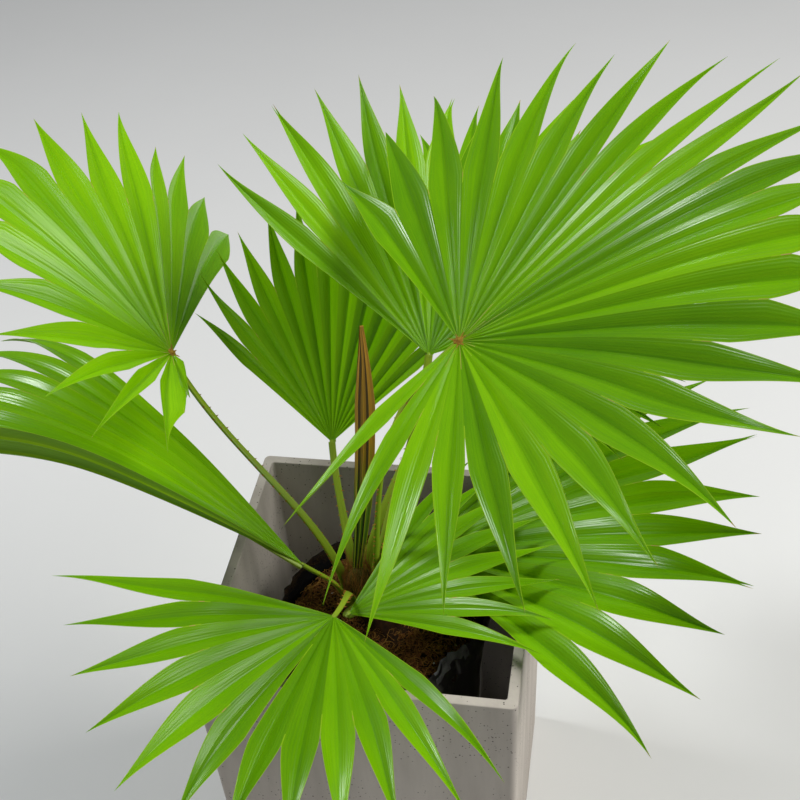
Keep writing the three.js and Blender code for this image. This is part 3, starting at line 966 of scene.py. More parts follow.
@dataclass(frozen=True)
class Fan:
    """One frond's blade and petiole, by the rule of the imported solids.

    heading, lift and roll turn the fan, segments behind the hub are shorter and limper, fold
    lifts the two sides, cup lifts the rim and droop lets the segments hang. fused is the joined
    share of their length, crest how much more it is at the angle peak, ease how much less at the
    first and last one, and broad how much longer than that they keep their full width. flare
    spreads the last segments, and bunch, in degrees, crowds the middle ones. cleft is a seam that
    parts near the hub, and pair one that parts late, beside a last segment with only stub of its
    length. trims are the first segments' lengths against the rule's.
    """

    number: int
    hub: tuple[float, float, float]
    heading: float
    lift: float
    roll: float
    length: float
    shorter: float
    limper: float
    fold: float
    cup: float
    droop: float
    start: float
    stop: float
    segments: int
    fused: float
    peak: float
    ease: tuple[float, float]
    foot: Foot
    joins: Joins
    broad: float = 0.5
    crest: float = 0.0
    flare: float = 0.0
    bunch: float = 0.0
    cleft: int = 0
    pair: int = 0
    stub: float = 1.0
    slim: float = 1.0
    trims: tuple[float, ...] = ()
    tones: tuple[Leaf, ...] = (Leaf.BRIGHT, Leaf.FRESH, Leaf.MID, Leaf.DEEP)

    def root(self) -> Array:
        """The hub in metres."""
        return np.array(self.hub) * MM

    def angle_at(self, columns: Array) -> Array:
        """Angles in the fan: seams have even columns and midribs odd ones.

        Args:
            columns: from 0 to twice the number of segments.

        Returns:
            One angle for each, in degrees.
        """
        half = (self.stop - self.start) / (self.segments - 1) / 2
        share = columns / self.segments / 2
        wave = np.sin(2 * math.pi * (share - BUNCH_PLACE)) + math.sin(2 * math.pi * BUNCH_PLACE)
        spread = share + self.flare * (share ** 5 - share)
        return self.start - half + (self.stop - self.start + 2 * half) * spread - self.bunch * wave

    def parting(self, degrees: Array) -> Array:
        """The share of a rib's length at which the segments part.

        Args:
            degrees: angles in the fan.

        Returns:
            One share for each.
        """
        before = self.ease[0] * ((self.peak - degrees) / (self.peak - self.start)).clip(0.0) ** 2
        after = self.ease[1] * ((degrees - self.peak) / (self.stop - self.peak)).clip(0.0) ** 2
        rise = self.crest * np.exp(-((degrees - self.peak) / CREST_SPREAD) ** 2)
        return np.maximum(LEAST_FUSED, self.fused + rise - before - after)

    def axes(self) -> tuple[Array, Array, Array]:
        """The fan's directions.

        Returns:
            Ahead, across and up.
        """
        heading, lift, roll = map(math.radians, (self.heading, self.lift, self.roll))
        ahead = np.array([math.cos(heading), math.sin(heading), math.tan(lift)]) * math.cos(lift)
        level = np.array([-math.sin(heading), math.cos(heading), 0.0])
        across = level * math.cos(roll) + np.cross(ahead, level) * math.sin(roll)
        return ahead, across, np.cross(ahead, across)

    def ribs(self, columns: Array, shares: Array) -> Array:
        """Points along the ribs at some columns.

        Args:
            columns: k columns.
            shares: n shares of a rib's length, from 0 at the hub, or k rows of them.

        Returns:
            k by n by 3 points in metres.
        """
        steps, reach = RIB_STEPS, RIB_REACH
        ahead, across, up = self.axes()
        angles = np.radians(self.angle_at(columns))
        behind = (1 - np.cos(angles)) / 2
        length = self.length * MM * (1 - self.shorter * behind)
        length = np.where(columns > 2 * self.segments - 1.5, length * self.stub, length)
        droop = self.droop * (1 + self.limper * behind)
        fold = math.radians(self.fold)
        side = np.sin(angles)[:, None]
        out = np.cos(angles)[:, None] * ahead + side * math.cos(fold) * across
        out = Weave.unit(out + (np.abs(side) * math.sin(fold) + math.tan(math.radians(self.cup))) * up)
        outward = Weave.unit(out * (1.0, 1.0, 0.0))
        steep = np.tan(np.arccos(-out[:, 2]) / 2)[:, None]
        middle = (np.arange(steps) + 0.5) / steps * reach
        turn = 2 * np.arctan(steep * np.exp(-droop[:, None] * middle ** 2))
        step = np.sin(turn)[..., None] * outward[:, None] - np.cos(turn)[..., None] * (0.0, 0.0, 1.0)
        step = step * (length * reach / steps)[:, None, None]
        points = np.concatenate([np.zeros((len(columns), 1, 3)), step.cumsum(axis=1)], axis=1)
        shares = np.broadcast_to(shares, (len(columns), np.shape(shares)[-1]))
        at = np.clip(shares / reach * steps, 0, steps - 1e-6)
        low = at.astype(int)
        row = np.arange(len(columns))[:, None]
        part = (at - low)[..., None]
        return points[row, low] * (1 - part) + points[row, low + 1] * part + self.root()


# Lighter greens for fronds 3 and 4, a painted light: they stand for the light these fronds catch.
PAINTED_LIGHT_GREENS = (Leaf.BRIGHT, Leaf.BRIGHT, Leaf.FRESH, Leaf.BRIGHT)
SHADED = (Leaf.FRESH, Leaf.MID, Leaf.DEEP, Leaf.MID)

FANS = (
    Fan(1, (88, -2, 690), 1, 16, 19, 345, 0.46, 1.2, -8, 19, 0.24, -130, 118, 26, 0.57, -1, (0.36, 0.0),
        Foot(-14, 16), Joins.BELOW, broad=0.6, crest=0.25, bunch=14,
        trims=(1.0, 1.08, 1.10, 0.96, 0.94, 0.98, 0.95, 0.98, 0.97, 1.0, 1.01, 0.99, 1.0, 0.98, 1.01,
               0.99, 1.01, 1.02, 0.97, 0.99, 0.93, 1.02, 1.04, 1.05, 1.05, 0.92)),
    Fan(2, (46, 84, 604), 96, 32, 12, 265, 0.32, 0, 24, 3, 0.18, -75, 60, 14, 0.70, 0, (0.20, 0.12),
        Foot(19, 18), Joins.BEHIND,
        trims=(1.0, 0.98, 1.0, 0.97, 1.0, 0.99, 1.0, 1.02, 1.03, 1.05, 1.03, 1.05, 1.04, 1.05)),
    Fan(3, (-197, 70, 600), 122, 23, 46, 275, 0.52, 0, -17, 15, 0.36, -36, 175, 16, 0.56, 50, (-0.2, 1.4),
        Foot(160, 14), Joins.BELOW, broad=0.6, crest=0.25, flare=0.24, pair=15, stub=0.5,
        trims=(1.0, 0.98, 1.01, 0.90), tones=PAINTED_LIGHT_GREENS),
    Fan(4, (-67, -28, 430), 183, 34, 33, 450, 0, 0.6, 41, 0, 1.15, -26, 8, 8, 0.72, -9, (0.08, 0.08),
        Foot(222, 8), Joins.BEHIND, tones=PAINTED_LIGHT_GREENS),
    Fan(5, (-61, 102, 470), 92, 62, -6, 250, 1.4, 0, 5, 0, 0.2, -44, 46, 13, 0.68, 0, (0.10, 0.10),
        Foot(120, 14), Joins.BEHIND, tones=(Leaf.BRIGHT, Leaf.FRESH, Leaf.BRIGHT, Leaf.BRIGHT)),
    Fan(6, (-24, -88, 430), 254, 7, -8, 260, 0.1, 0, 14, 3, 0.46, -60, 62, 12, 0.62, 0, (0.12, 0.20),
        Foot(-107, 12), Joins.BEHIND, broad=0.3, cleft=6, slim=0.65,
        tones=(Leaf.MID, Leaf.DEEP, Leaf.DEEP, Leaf.FRESH)),
    Fan(7, (-24, -42, 380), 6, 24, 5, 215, 0.1, 0, 4, 0, 0.42, -24, 50, 8, 0.58, 10, (0.06, 0.06),
        Foot(-58, 8), Joins.BEHIND, tones=SHADED),
    Fan(8, (22, 62, 360), -6, 24, 6, 370, 0.07, 0, 3, 1, 0.36, -38, 42, 10, 0.68, 0, (0.06, 0.08),
        Foot(53, 8), Joins.BEHIND, tones=SHADED),
    Fan(9, (77, 181, 560), 50, 35, 0, 270, 0.25, 0.3, 8, 3, 0.35, -95, 95, 18, 0.66, 0, (0.30, 0.30),
        Foot(85, 12), Joins.BELOW),
)


class BladePart(Enum):
    """The places of a blade's finishes in its list."""

    TONE = 0
    UNDER = 4
    RIB = 5
    DRY = 6


@dataclass
class Blade:
    """A frond's blade: V-folded segments, fused to the split and free beyond it.

    steep_fold is the folds' slope at the hub and flat_fold where the segments part. shoulder and
    point shape the taper, belly and ripple the swell across a half segment, as shares of its
    width. billow, film, rib_depth, rib_reach and margin are in millimetres, and a blade thins out
    over tip_share of its length. columns are the places across a half segment, from its edge to
    its midrib, of which the second and the last but one are moved to the margin and to the rib,
    and crimps the ripple's way at each. A free edge draws back by up to slit within slit_reach,
    and leaves the seam's line within settle. tips, split_stray, deeper, sway, hang, twist and
    notch are what a segment's length, seam, fold, bends, turn and nick at the tip are drawn from,
    and loose how much more of it the deeply parted ones get. notched, dry_tip, dry_mark and
    dry_streak are chances, and cleft_split and pair_split where a cleft and a pair part.
    """

    fan: Fan
    stations: int = 48
    steep_fold: float = 0.64
    flat_fold: float = 0.34
    shoulder: float = 0.75
    point: float = 0.4
    belly: float = 0.07
    billow: float = 1.6
    film: float = 0.42
    rib_depth: float = 0.8
    margin: float = 0.5
    ripple: float = 0.011
    columns: tuple[float, ...] = (0.0, 0.0, 0.28, 0.46, 0.64, 0.82, 1.0, 1.0)
    crimps: tuple[float, ...] = (0.0, 0.0, 1.0, -1.0, 1.0, -1.0, 0.0, 0.0)
    crimp_span: tuple[float, float] = (0.4, 1.6)
    rib_reach: float = 1.6
    tip_share: float = 0.03
    slit: float = 0.16
    slit_reach: float = 0.12
    settle: float = 0.3
    tips: tuple[float, float] = (0.955, 1.015)
    split_stray: float = 0.045
    cleft_split: float = 0.2
    pair_split: float = 0.625
    deeper: tuple[float, float] = (-0.2, 1.3)
    loose: float = 2.5
    sway: float = 0.012
    hang: tuple[float, float] = (-0.004, 0.014)
    twist: float = 0.22
    notched: float = 0.15
    notch: tuple[float, float] = (0.03, 0.06)
    dry_tip: float = 0.4
    dry_mark: float = 0.35
    dry_streak: float = 0.3

    def build(self) -> None:
        """Makes the blade as one welded piece."""
        self.chance = np.random.default_rng(100 + self.fan.number)
        self._lay_out()
        self._cut()
        outer, inner = self._edges()
        batch = Batch((*self.fan.tones, Leaf.UNDER, Leaf.RIB, Leaf.DRY))
        self._skin(batch, outer, inner)
        name = f"frond_{self.fan.number}"
        place(batch.build(f"{name}_blade", 24.0), "frond_blade", name)

    def _lay_out(self) -> None:
        """Works out the ribs and the directions along them."""
        fan = self.fan
        count = fan.segments
        self.share = np.linspace(0.0, 1.0, self.stations + 1)
        columns = np.arange(2 * count + 1)
        angles = fan.angle_at(columns)
        self.part = fan.parting(angles[1::2])[:, None]
        self.full = self.part + (fan.fused - self.part).clip(0.0) * fan.broad
        self.seam_part = fan.parting(angles[::2])
        tip = self.chance.uniform(*self.tips, (count, 1))
        tip[:len(fan.trims), 0] = fan.trims
        self.free = np.clip((self.share[None] - self.part) / (1 - self.part), 0.0, 1.0)
        self.mid = self._billow(fan.ribs(columns[1::2], self.share[None] + self.free * (tip - 1)))
        self.seam = self._billow(fan.ribs(columns[::2], self.share))
        chord = self.seam[1:] - self.seam[:-1]
        chord[:, 0] = chord[:, 1]
        self.lateral = Weave.unit(chord)
        along = Weave.unit(np.gradient(self.mid, axis=1))
        self.up = Weave.unit(np.cross(along, self.lateral))
        self.sector = np.linalg.norm(self.seam[1:] - self.seam[:-1], axis=-1) / 2

    def _billow(self, points: Array) -> Array:
        """Lets the blade swell and sink a little in broad waves, more towards its rim.

        Args:
            points: rows of points from the hub outwards.

        Returns:
            The moved points.
        """
        ahead, across, up = self.fan.axes()
        reach = points - points[:, :1]
        x, y = reach @ ahead / 0.1, reach @ across / 0.1
        turn = self.fan.number * 1.7
        wave = sum(high * np.sin(a * x + b * y + c * turn) for high, a, b, c in BILLOWS)
        return points + (wave * self.share ** 1.5 * self.billow * MM)[..., None] * up

    def _cut(self) -> None:
        """Chooses where the segments part, and how each free part is bent, turned and folded."""
        fan, chance = self.fan, self.chance
        count = fan.segments
        split = self.seam_part + chance.uniform(-self.split_stray, self.split_stray, count + 1)
        if fan.cleft:
            split[fan.cleft] = self.cleft_split
        if fan.pair:
            split[fan.pair] = self.pair_split
        split[[0, -1]] = 0.0
        self.split = np.round(split * self.stations).astype(int)
        at_full = np.round(self.full[:, 0] * self.stations).astype(int)
        reach = self.sector[np.arange(count), at_full][:, None]
        beyond = np.clip((self.share[None] - self.full) / (1 - self.full), 0.0, 1.0)
        taper = (1 - beyond) * (1 + self.shoulder * beyond * (1 - beyond))
        taper = taper * (1 - self.point * beyond ** 2)
        self.width = np.where(self.share[None] <= self.full, self.sector, reach * taper)
        flatter = np.clip(self.share[None] / self.part, 0, 1)
        slope = self.steep_fold + (self.flat_fold - self.steep_fold) * flatter
        fold_more = 1 + self.free ** 2 * chance.uniform(*self.deeper, (count, 1))
        self.rise = 0.5 * slope * fold_more * self.width
        length = fan.length * MM
        ease = self.free[..., None] ** 2
        loose = 1 + self.loose * (fan.fused - self.part).clip(0.0)
        sway = chance.normal(0.0, self.sway, (count, 1, 1)) * loose[..., None] * length
        curl = chance.normal(0.0, self.sway, (count, 1, 1)) * length * self.free[..., None] ** 4
        hang = chance.normal(*self.hang, (count, 1, 1)) * length
        self.shift = ease * (sway * self.lateral + hang * self.up) + curl * self.lateral
        twist = (chance.normal(0.0, self.twist, (count, 1)) * loose * self.free ** 1.5)[..., None]
        self.side_way = self.lateral * np.cos(twist) + self.up * np.sin(twist)
        self.up_way = self.up * np.cos(twist) - self.lateral * np.sin(twist)

    def _edges(self) -> tuple[Array, Array]:
        """The outer edge and the midrib edge of each half segment.

        Returns:
            Two arrays of points by segment, half, the left one first, and station.
        """
        count, station = self.fan.segments, np.arange(len(self.share))
        centre = self.mid + self.shift
        seam_up = np.concatenate([self.up[:1], self.up[:-1] + self.up[1:], self.up[-1:]])
        seam_rise = np.concatenate([self.rise[:1], (self.rise[:-1] + self.rise[1:]) / 2, self.rise[-1:]])
        seam = self.seam + Weave.unit(seam_up) * seam_rise[..., None]
        crease = centre - self.up_way * self.rise[..., None]
        outer = np.empty((count, 2, len(station), 3))
        inner = np.empty_like(outer)
        notched = self.chance.random(count) < self.notched
        depth = self.chance.uniform(*self.notch, count)
        self.nick = np.where(notched, np.round((1 - depth) * self.stations), self.stations).astype(int)
        for half, side in enumerate((-1.0, 1.0)):
            for segment in range(count):
                middle, last = centre[segment], self.split[segment + half]
                deep = max(0.0, self.full[segment, 0] - self.share[last] - 0.04)
                grow = np.clip((station - last) / (self.slit_reach * self.stations), 0, 1)
                width = self.width[segment] * (1 - min(self.slit, deep * 1.2) * grow)
                free_edge = (middle + side * width[:, None] * self.side_way[segment]
                             + self.up_way[segment] * self.rise[segment][:, None])
                gap = seam[segment + half, last] - free_edge[last]
                fade = np.clip(1 - (self.share - self.share[last]) / self.settle, 0, 1)[:, None] ** 2
                edge = np.where((station <= last)[:, None] & (last > 0), seam[segment + half],
                                free_edge + gap * fade * (last > 0))
                inside = crease[segment]
                cut = self.nick[segment]
                if cut < self.stations:
                    goal = middle + (edge[cut] * 0.7 + inside[cut] * 0.3 - middle[cut])
                    part = ((station - cut) / (self.stations - cut)).clip(0, 1)[:, None]
                    lines = (np.where(part > 0, line[cut] - middle[cut] + middle, line)
                             for line in (edge, inside))
                    edge, inside = (line * (1 - part) + goal * part for line in lines)
                outer[segment, half], inner[segment, half] = edge, inside
        outer[:, :, 0] = inner[:, :, 0] = self.fan.root()
        return outer, inner

    def _skin(self, batch: Batch, outer: Array, inner: Array) -> None:
        """Skins the half segments above and below and closes their free edges.

        Args:
            batch: takes the faces.
            outer: outer edges by segment, half and station.
            inner: midrib edges, likewise.
        """
        count, size, cols = self.fan.segments, len(self.share), len(self.columns)
        width = np.linalg.norm(outer - inner, axis=-1)[..., None]
        narrow = np.maximum(width, 1e-9)
        columns = np.broadcast_to(self.columns, (count, 2, size, cols)).copy()
        columns[..., 1:2] = np.minimum(self.margin * MM / narrow, 0.25)
        columns[..., -2:-1] = 1 - np.minimum(self.margin * MM / narrow, 0.2)
        up = np.repeat(self.up_way[:, None], 2, axis=1)[..., None, :]
        up[:, :, 0] = self.fan.axes()[2]
        flat = outer[..., None, :] * (1 - columns[..., None]) + inner[..., None, :] * columns[..., None]
        crimp = np.array(self.crimps) * self.ripple
        swell = self.belly * np.sin(np.pi * columns) ** 2 * width
        swell = swell + crimp * self.chance.uniform(*self.crimp_span, (count, 2, 1, 1)) * width
        flat = flat + swell[..., None] * up
        end = np.minimum(1.0, (1 - self.share) / self.tip_share)[:, None]
        near_rib = np.clip(1 - (1 - columns) * width / (self.rib_reach * MM), 0, 1)
        film = self.film * MM / 2 * (0.6 + 0.4 * np.minimum(1, columns * 4)) * end
        rib = self.rib_depth * MM * near_rib * np.minimum(1, width / (5 * MM)) * end
        top, bottom = flat + film[..., None] * up, flat - (film + rib)[..., None] * up
        hub, thick = self.fan.root(), up[0, 0, 0] * self.film * MM
        top[:, :, 0], bottom[:, :, 0] = hub + thick / 2, hub - thick
        across = np.arange(count * 2).reshape(count, 2)[..., None, None] + columns
        along = np.broadcast_to((self.share * self.fan.length * MM)[:, None], across.shape)
        maps = np.stack([along, across], axis=-1)
        grid = np.arange(size * cols).reshape(size, cols)
        cells = np.stack([grid[:-1, :-1], grid[1:, :-1], grid[1:, 1:], grid[:-1, 1:]], axis=-1)
        tone = self._deal(count)
        for segment in range(count):
            for half in range(2):
                split = self.split[segment + half]
                upper = np.full(cells.shape[:2], tone[segment])
                upper[max(0, split - 2):, 0] = BladePart.RIB.value
                self._age(upper, split)
                lower = np.full(cells.shape[:2], BladePart.UNDER.value)
                lower[:, -2:] = BladePart.RIB.value
                over = cells.reshape(-1, 4)
                walls = self._walls(grid, split, self.nick[segment])
                faces = np.concatenate([over, over[:, ::-1] + grid.size, walls])
                points = np.concatenate([top[segment, half], bottom[segment, half]]).reshape(-1, 3)
                chart = np.concatenate([maps[segment, half]] * 2).reshape(-1, 2)
                rims = np.full(len(walls), BladePart.RIB.value)
                dealt = np.concatenate([upper.ravel(), lower.ravel(), rims])
                batch.add(points, chart, faces[:, ::-1] if half else faces, dealt)

    @staticmethod
    def _walls(grid: Array, split: int, nick: int) -> Array:
        """The thin walls along a left half's free edges.

        Args:
            grid: indices of the upper skin by station and column.
            split: the station where the outer edge comes free.
            nick: the station where the midrib edge comes free.

        Returns:
            The walls' faces.
        """
        below = grid + grid.size
        out, out_below = grid[split:, 0], below[split:, 0]
        rib, rib_below = grid[nick:, -1], below[nick:, -1]
        return np.concatenate([np.stack([out[:-1], out_below[:-1], out_below[1:], out[1:]], axis=-1),
                               np.stack([rib[:-1], rib[1:], rib_below[1:], rib_below[:-1]], axis=-1)])

    def _deal(self, count: int) -> Array:
        """Deals a green to each segment, never the same one three times running.

        Args:
            count: how many segments.

        Returns:
            One place in the list of finishes for each.
        """
        tone = self.chance.integers(0, 4, count)
        for segment in range(2, count):
            if tone[segment] == tone[segment - 1] == tone[segment - 2]:
                tone[segment] = (tone[segment] + 1) % 4
        return tone

    def _age(self, dealt: Array, split: int) -> None:
        """Gives some half segments a dry tip, a dry mark at the split and a pale streak at the hub.

        Args:
            dealt: the upper skin's finishes by station and column, changed in place.
            split: the station where the outer edge comes free.
        """
        if self.chance.random() < self.dry_tip:
            dealt[-1:, :] = BladePart.DRY.value
        if split > 2 and self.chance.random() < self.dry_mark:
            dealt[split - 1, 0] = BladePart.DRY.value
        streak = BladePart.DRY if self.chance.random() < self.dry_streak else BladePart.RIB
        if self.fan.joins is Joins.BELOW:
            dealt[:self.chance.integers(0, 8), 0] = streak.value


@dataclass
class Petiole:
    """A leaf stalk: a channelled stem with spined edges, a costa under the blade and a hastula.

    thorn and thorn_more are a spine's length at the foot and what is added towards the hub, gap
    and gap_more their spacing, thorn_sizes and flake_sizes half widths and half heights at the
    root, middle and tip, and collar the radius and height of the hastula's rings.
    """

    fan: Fan
    ring: float = 16.5
    bend: float = 0.35
    foot_radius: float = 4.5
    tip_radius: float = 3.5
    thorn: float = 1.6
    thorn_more: float = 2.6
    thorn_sizes: Profile = ((1.3, 0.5), (0.6, 0.32), (0.07, 0.05))
    gap: tuple[float, float] = (5.0, 8.0)
    gap_more: float = 12.0
    collar: Profile = ((4.6, -0.6), (5.0, 0.6), (4.2, 1.5), (3.0, 1.3), (1.4, 2.0), (0.01, 2.3))
    flakes: int = 7
    flake_sizes: Profile = ((1.1, 0.3), (0.8, 0.22), (0.1, 0.08))
    bare: float = 30.0
    spined: float = 0.86
    steps: int = 60
    rooted: int = 8

    def build(self) -> None:
        """Makes stalk, costa, spines and hastula as one piece."""
        batch = Batch((Stuff.PETIOLE, Stuff.SPINE, Stuff.HASTULA))
        path, face = self._line()
        share = np.linspace(-self.rooted / self.steps, 1.0, len(path)).clip(0.0)
        radius = self.foot_radius + (self.tip_radius - self.foot_radius) * np.minimum(1, share * 1.6)
        radius = radius * (1 - (1 - self.fan.slim) * share)
        clasp = np.exp(-share * Weave.length(path) / 0.02)
        wide = radius * (1.06 + 0.7 * clasp)
        size = np.stack([wide, radius * 0.8], axis=-1)[None] * MM
        turn = np.arange(14) / 14 * 2 * np.pi
        top = np.maximum(0.0, np.sin(turn))
        section = np.stack([np.cos(turn), np.sin(turn) * (1 - 0.5 * top)], axis=-1)
        Weave.tubes(batch, path[None], face[None], section, size, 0)
        self._spines(batch, path, face, wide * MM)
        self._costa(batch)
        self._hastula(batch)
        name = f"petiole_{self.fan.number}"
        place(batch.build(f"{name}_stalk", 40.0), "petiole_green", name)

    def _line(self) -> tuple[Array, Array]:
        """The stalk's line from the stem to the hub and the way its upper side faces.

        Returns:
            Points in metres and directions.
        """
        ahead, _, up = self.fan.axes()
        hub = np.array(self.fan.hub, float)
        around = math.radians(self.fan.foot.angle)
        outward = np.array([math.cos(around), math.sin(around), 0.0])
        foot = np.array([*STEM, SOIL + self.fan.foot.height]) + outward * self.ring
        span = np.linalg.norm(hub - foot)
        straight = (hub - foot) / span
        arrival = Weave.unit(straight + (ahead - straight) * 0.5)
        leaving = Weave.unit(np.array([0.0, 0.0, 1.0]) * 0.6 + straight * 0.4)
        if self.fan.joins is Joins.BELOW:
            hub = hub - up * (self.tip_radius * 0.6)
        corner = [foot, foot + leaving * span * self.bend, hub - arrival * span * self.bend, hub]
        t = np.linspace(0.0, 1.0, self.steps)[:, None]
        weights = ((1 - t) ** 3, 3 * t * (1 - t) ** 2, 3 * t ** 2 * (1 - t), t ** 3)
        path = sum(weight * point for weight, point in zip(weights, corner))
        root = np.array([*STEM, SOIL - 4.0]) + outward * 7.0
        bend = foot - leaving * (foot[2] - root[2]) * 0.6
        s = np.linspace(0.0, 1.0, self.rooted + 1)[:-1, None]
        below = (1 - s) ** 2 * root + 2 * s * (1 - s) * bend + s * s * foot
        path = np.concatenate([below, path]) * MM
        t = np.concatenate([0.0 * s, t])
        ease = t * t * (3 - 2 * t)
        return path, Weave.unit(-outward * (1 - ease) + up * ease + (0.0, 0.0, 0.02))

    def _spines(self, batch: Batch, path: Array, face: Array, wide: Array) -> None:
        """Adds short hooked spines along both edges of the stalk.

        Args:
            batch: takes them.
            path: the stalk's points.
            face: the way its upper side faces.
            wide: its half width in metres.
        """
        chance = np.random.default_rng(300 + self.fan.number)
        along, sideways, up = (v[0] for v in Weave.frames(path[None], face[None]))
        total = Weave.length(path)
        rows = []
        for side in (-1.0, 1.0):
            reached = self.bare * MM + chance.uniform(0.0, self.gap_more) * MM
            while reached < total * self.spined:
                low = int(self.rooted + reached / total * (self.steps - 1))
                long = (self.thorn + self.thorn_more * reached / total) * chance.uniform(0.7, 1.1) * MM
                root = path[low] + side * sideways[low] * wide[low] * 0.9 + up[low] * 0.0002
                lean = along[low] * chance.uniform(-0.5, 0.1) + up[low] * 0.25
                out = Weave.unit(side * sideways[low] + lean)
                rows.append([root, root + out * long * 0.5, root + (out - along[low] * 0.25) * long])
                reached += (chance.uniform(*self.gap) + self.gap_more * reached / total) * MM
        self._slivers(batch, rows, np.array([0.1, 0.2, 1.0]), self.thorn_sizes, 1)

    @staticmethod
    def _slivers(batch: Batch, rows: list[list[Array]], face: Array, sizes: Profile, dealt: int) -> None:
        """Adds small pointed pieces.

        Args:
            batch: takes them.
            rows: the root, middle and tip of each.
            face: the way their upper side faces.
            sizes: their half width and half height at root, middle and tip.
            dealt: the finish's place in the batch's list.
        """
        size = np.tile(np.array(sizes) * MM, (len(rows), 1, 1))
        Weave.tubes(batch, np.array(rows), face, Weave.round(4), size, dealt)

    def _costa(self, batch: Batch) -> None:
        """Adds the ridge that carries the stalk on under the blade.

        Args:
            batch: takes it.
        """
        up = self.fan.axes()[2]
        share = np.linspace(0.0, 0.13, 8)
        columns = np.arange(1, 2 * self.fan.segments, 2)
        nearest = np.abs(self.fan.angle_at(columns)).argmin()
        path = self.fan.ribs(columns[nearest:nearest + 1], share)
        thin = (self.tip_radius * (1 - share / 0.15)) * MM
        path = path - up * (thin[:, None] * 0.7 + 0.0006)
        Weave.tubes(batch, path, up, Weave.round(10), np.stack([thin, thin * 0.8], axis=-1)[None], 0)

    def _hastula(self, batch: Batch) -> None:
        """Adds the small dry collar on the hub's upper side, with a few curled flakes.

        Args:
            batch: takes it.
        """
        chance = np.random.default_rng(500 + self.fan.number)
        ahead, across, up = self.fan.axes()
        hub = self.fan.root()
        turn = np.linspace(0.0, 2 * np.pi, 17)[:-1]
        big = 1.0 if self.fan.joins is Joins.BELOW else 0.55
        dealt = 2 if self.fan.joins is Joins.BELOW else 0
        rings = []
        for radius, height in np.array(self.collar) * big:
            wobble = 1 + 0.12 * np.sin(turn * 5 + chance.uniform(0, 6))
            out = np.outer(np.cos(turn), ahead) + np.outer(np.sin(turn), across) * 0.85
            rings.append(hub + up * height * MM + out * radius * MM * wobble[:, None])
        points = np.concatenate(rings)
        index = np.arange(len(points)).reshape(len(rings), 16)
        after = np.roll(index, -1, axis=1)
        quads = np.stack([index[:-1], after[:-1], after[1:], index[1:]], axis=-1).reshape(-1, 4)
        start = batch.add(points, points[:, :2], quads, dealt)
        batch.close((index[0, ::-1] + start,), dealt)
        if not dealt:
            return
        rows = []
        for angle in chance.uniform(0, 2 * np.pi, self.flakes):
            out = math.cos(angle) * ahead + math.sin(angle) * across
            root = hub + out * 3.5 * MM + up * 0.8 * MM
            long = chance.uniform(3.0, 6.5) * MM
            middle = root + (out * 0.7 + up * 0.5) * long * 0.5
            rows.append([root, middle, root + (out + up * 0.45) * long])
        self._slivers(batch, rows, up, self.flake_sizes, 2)


# ---------------------------------------------------------------- stem and spear leaf


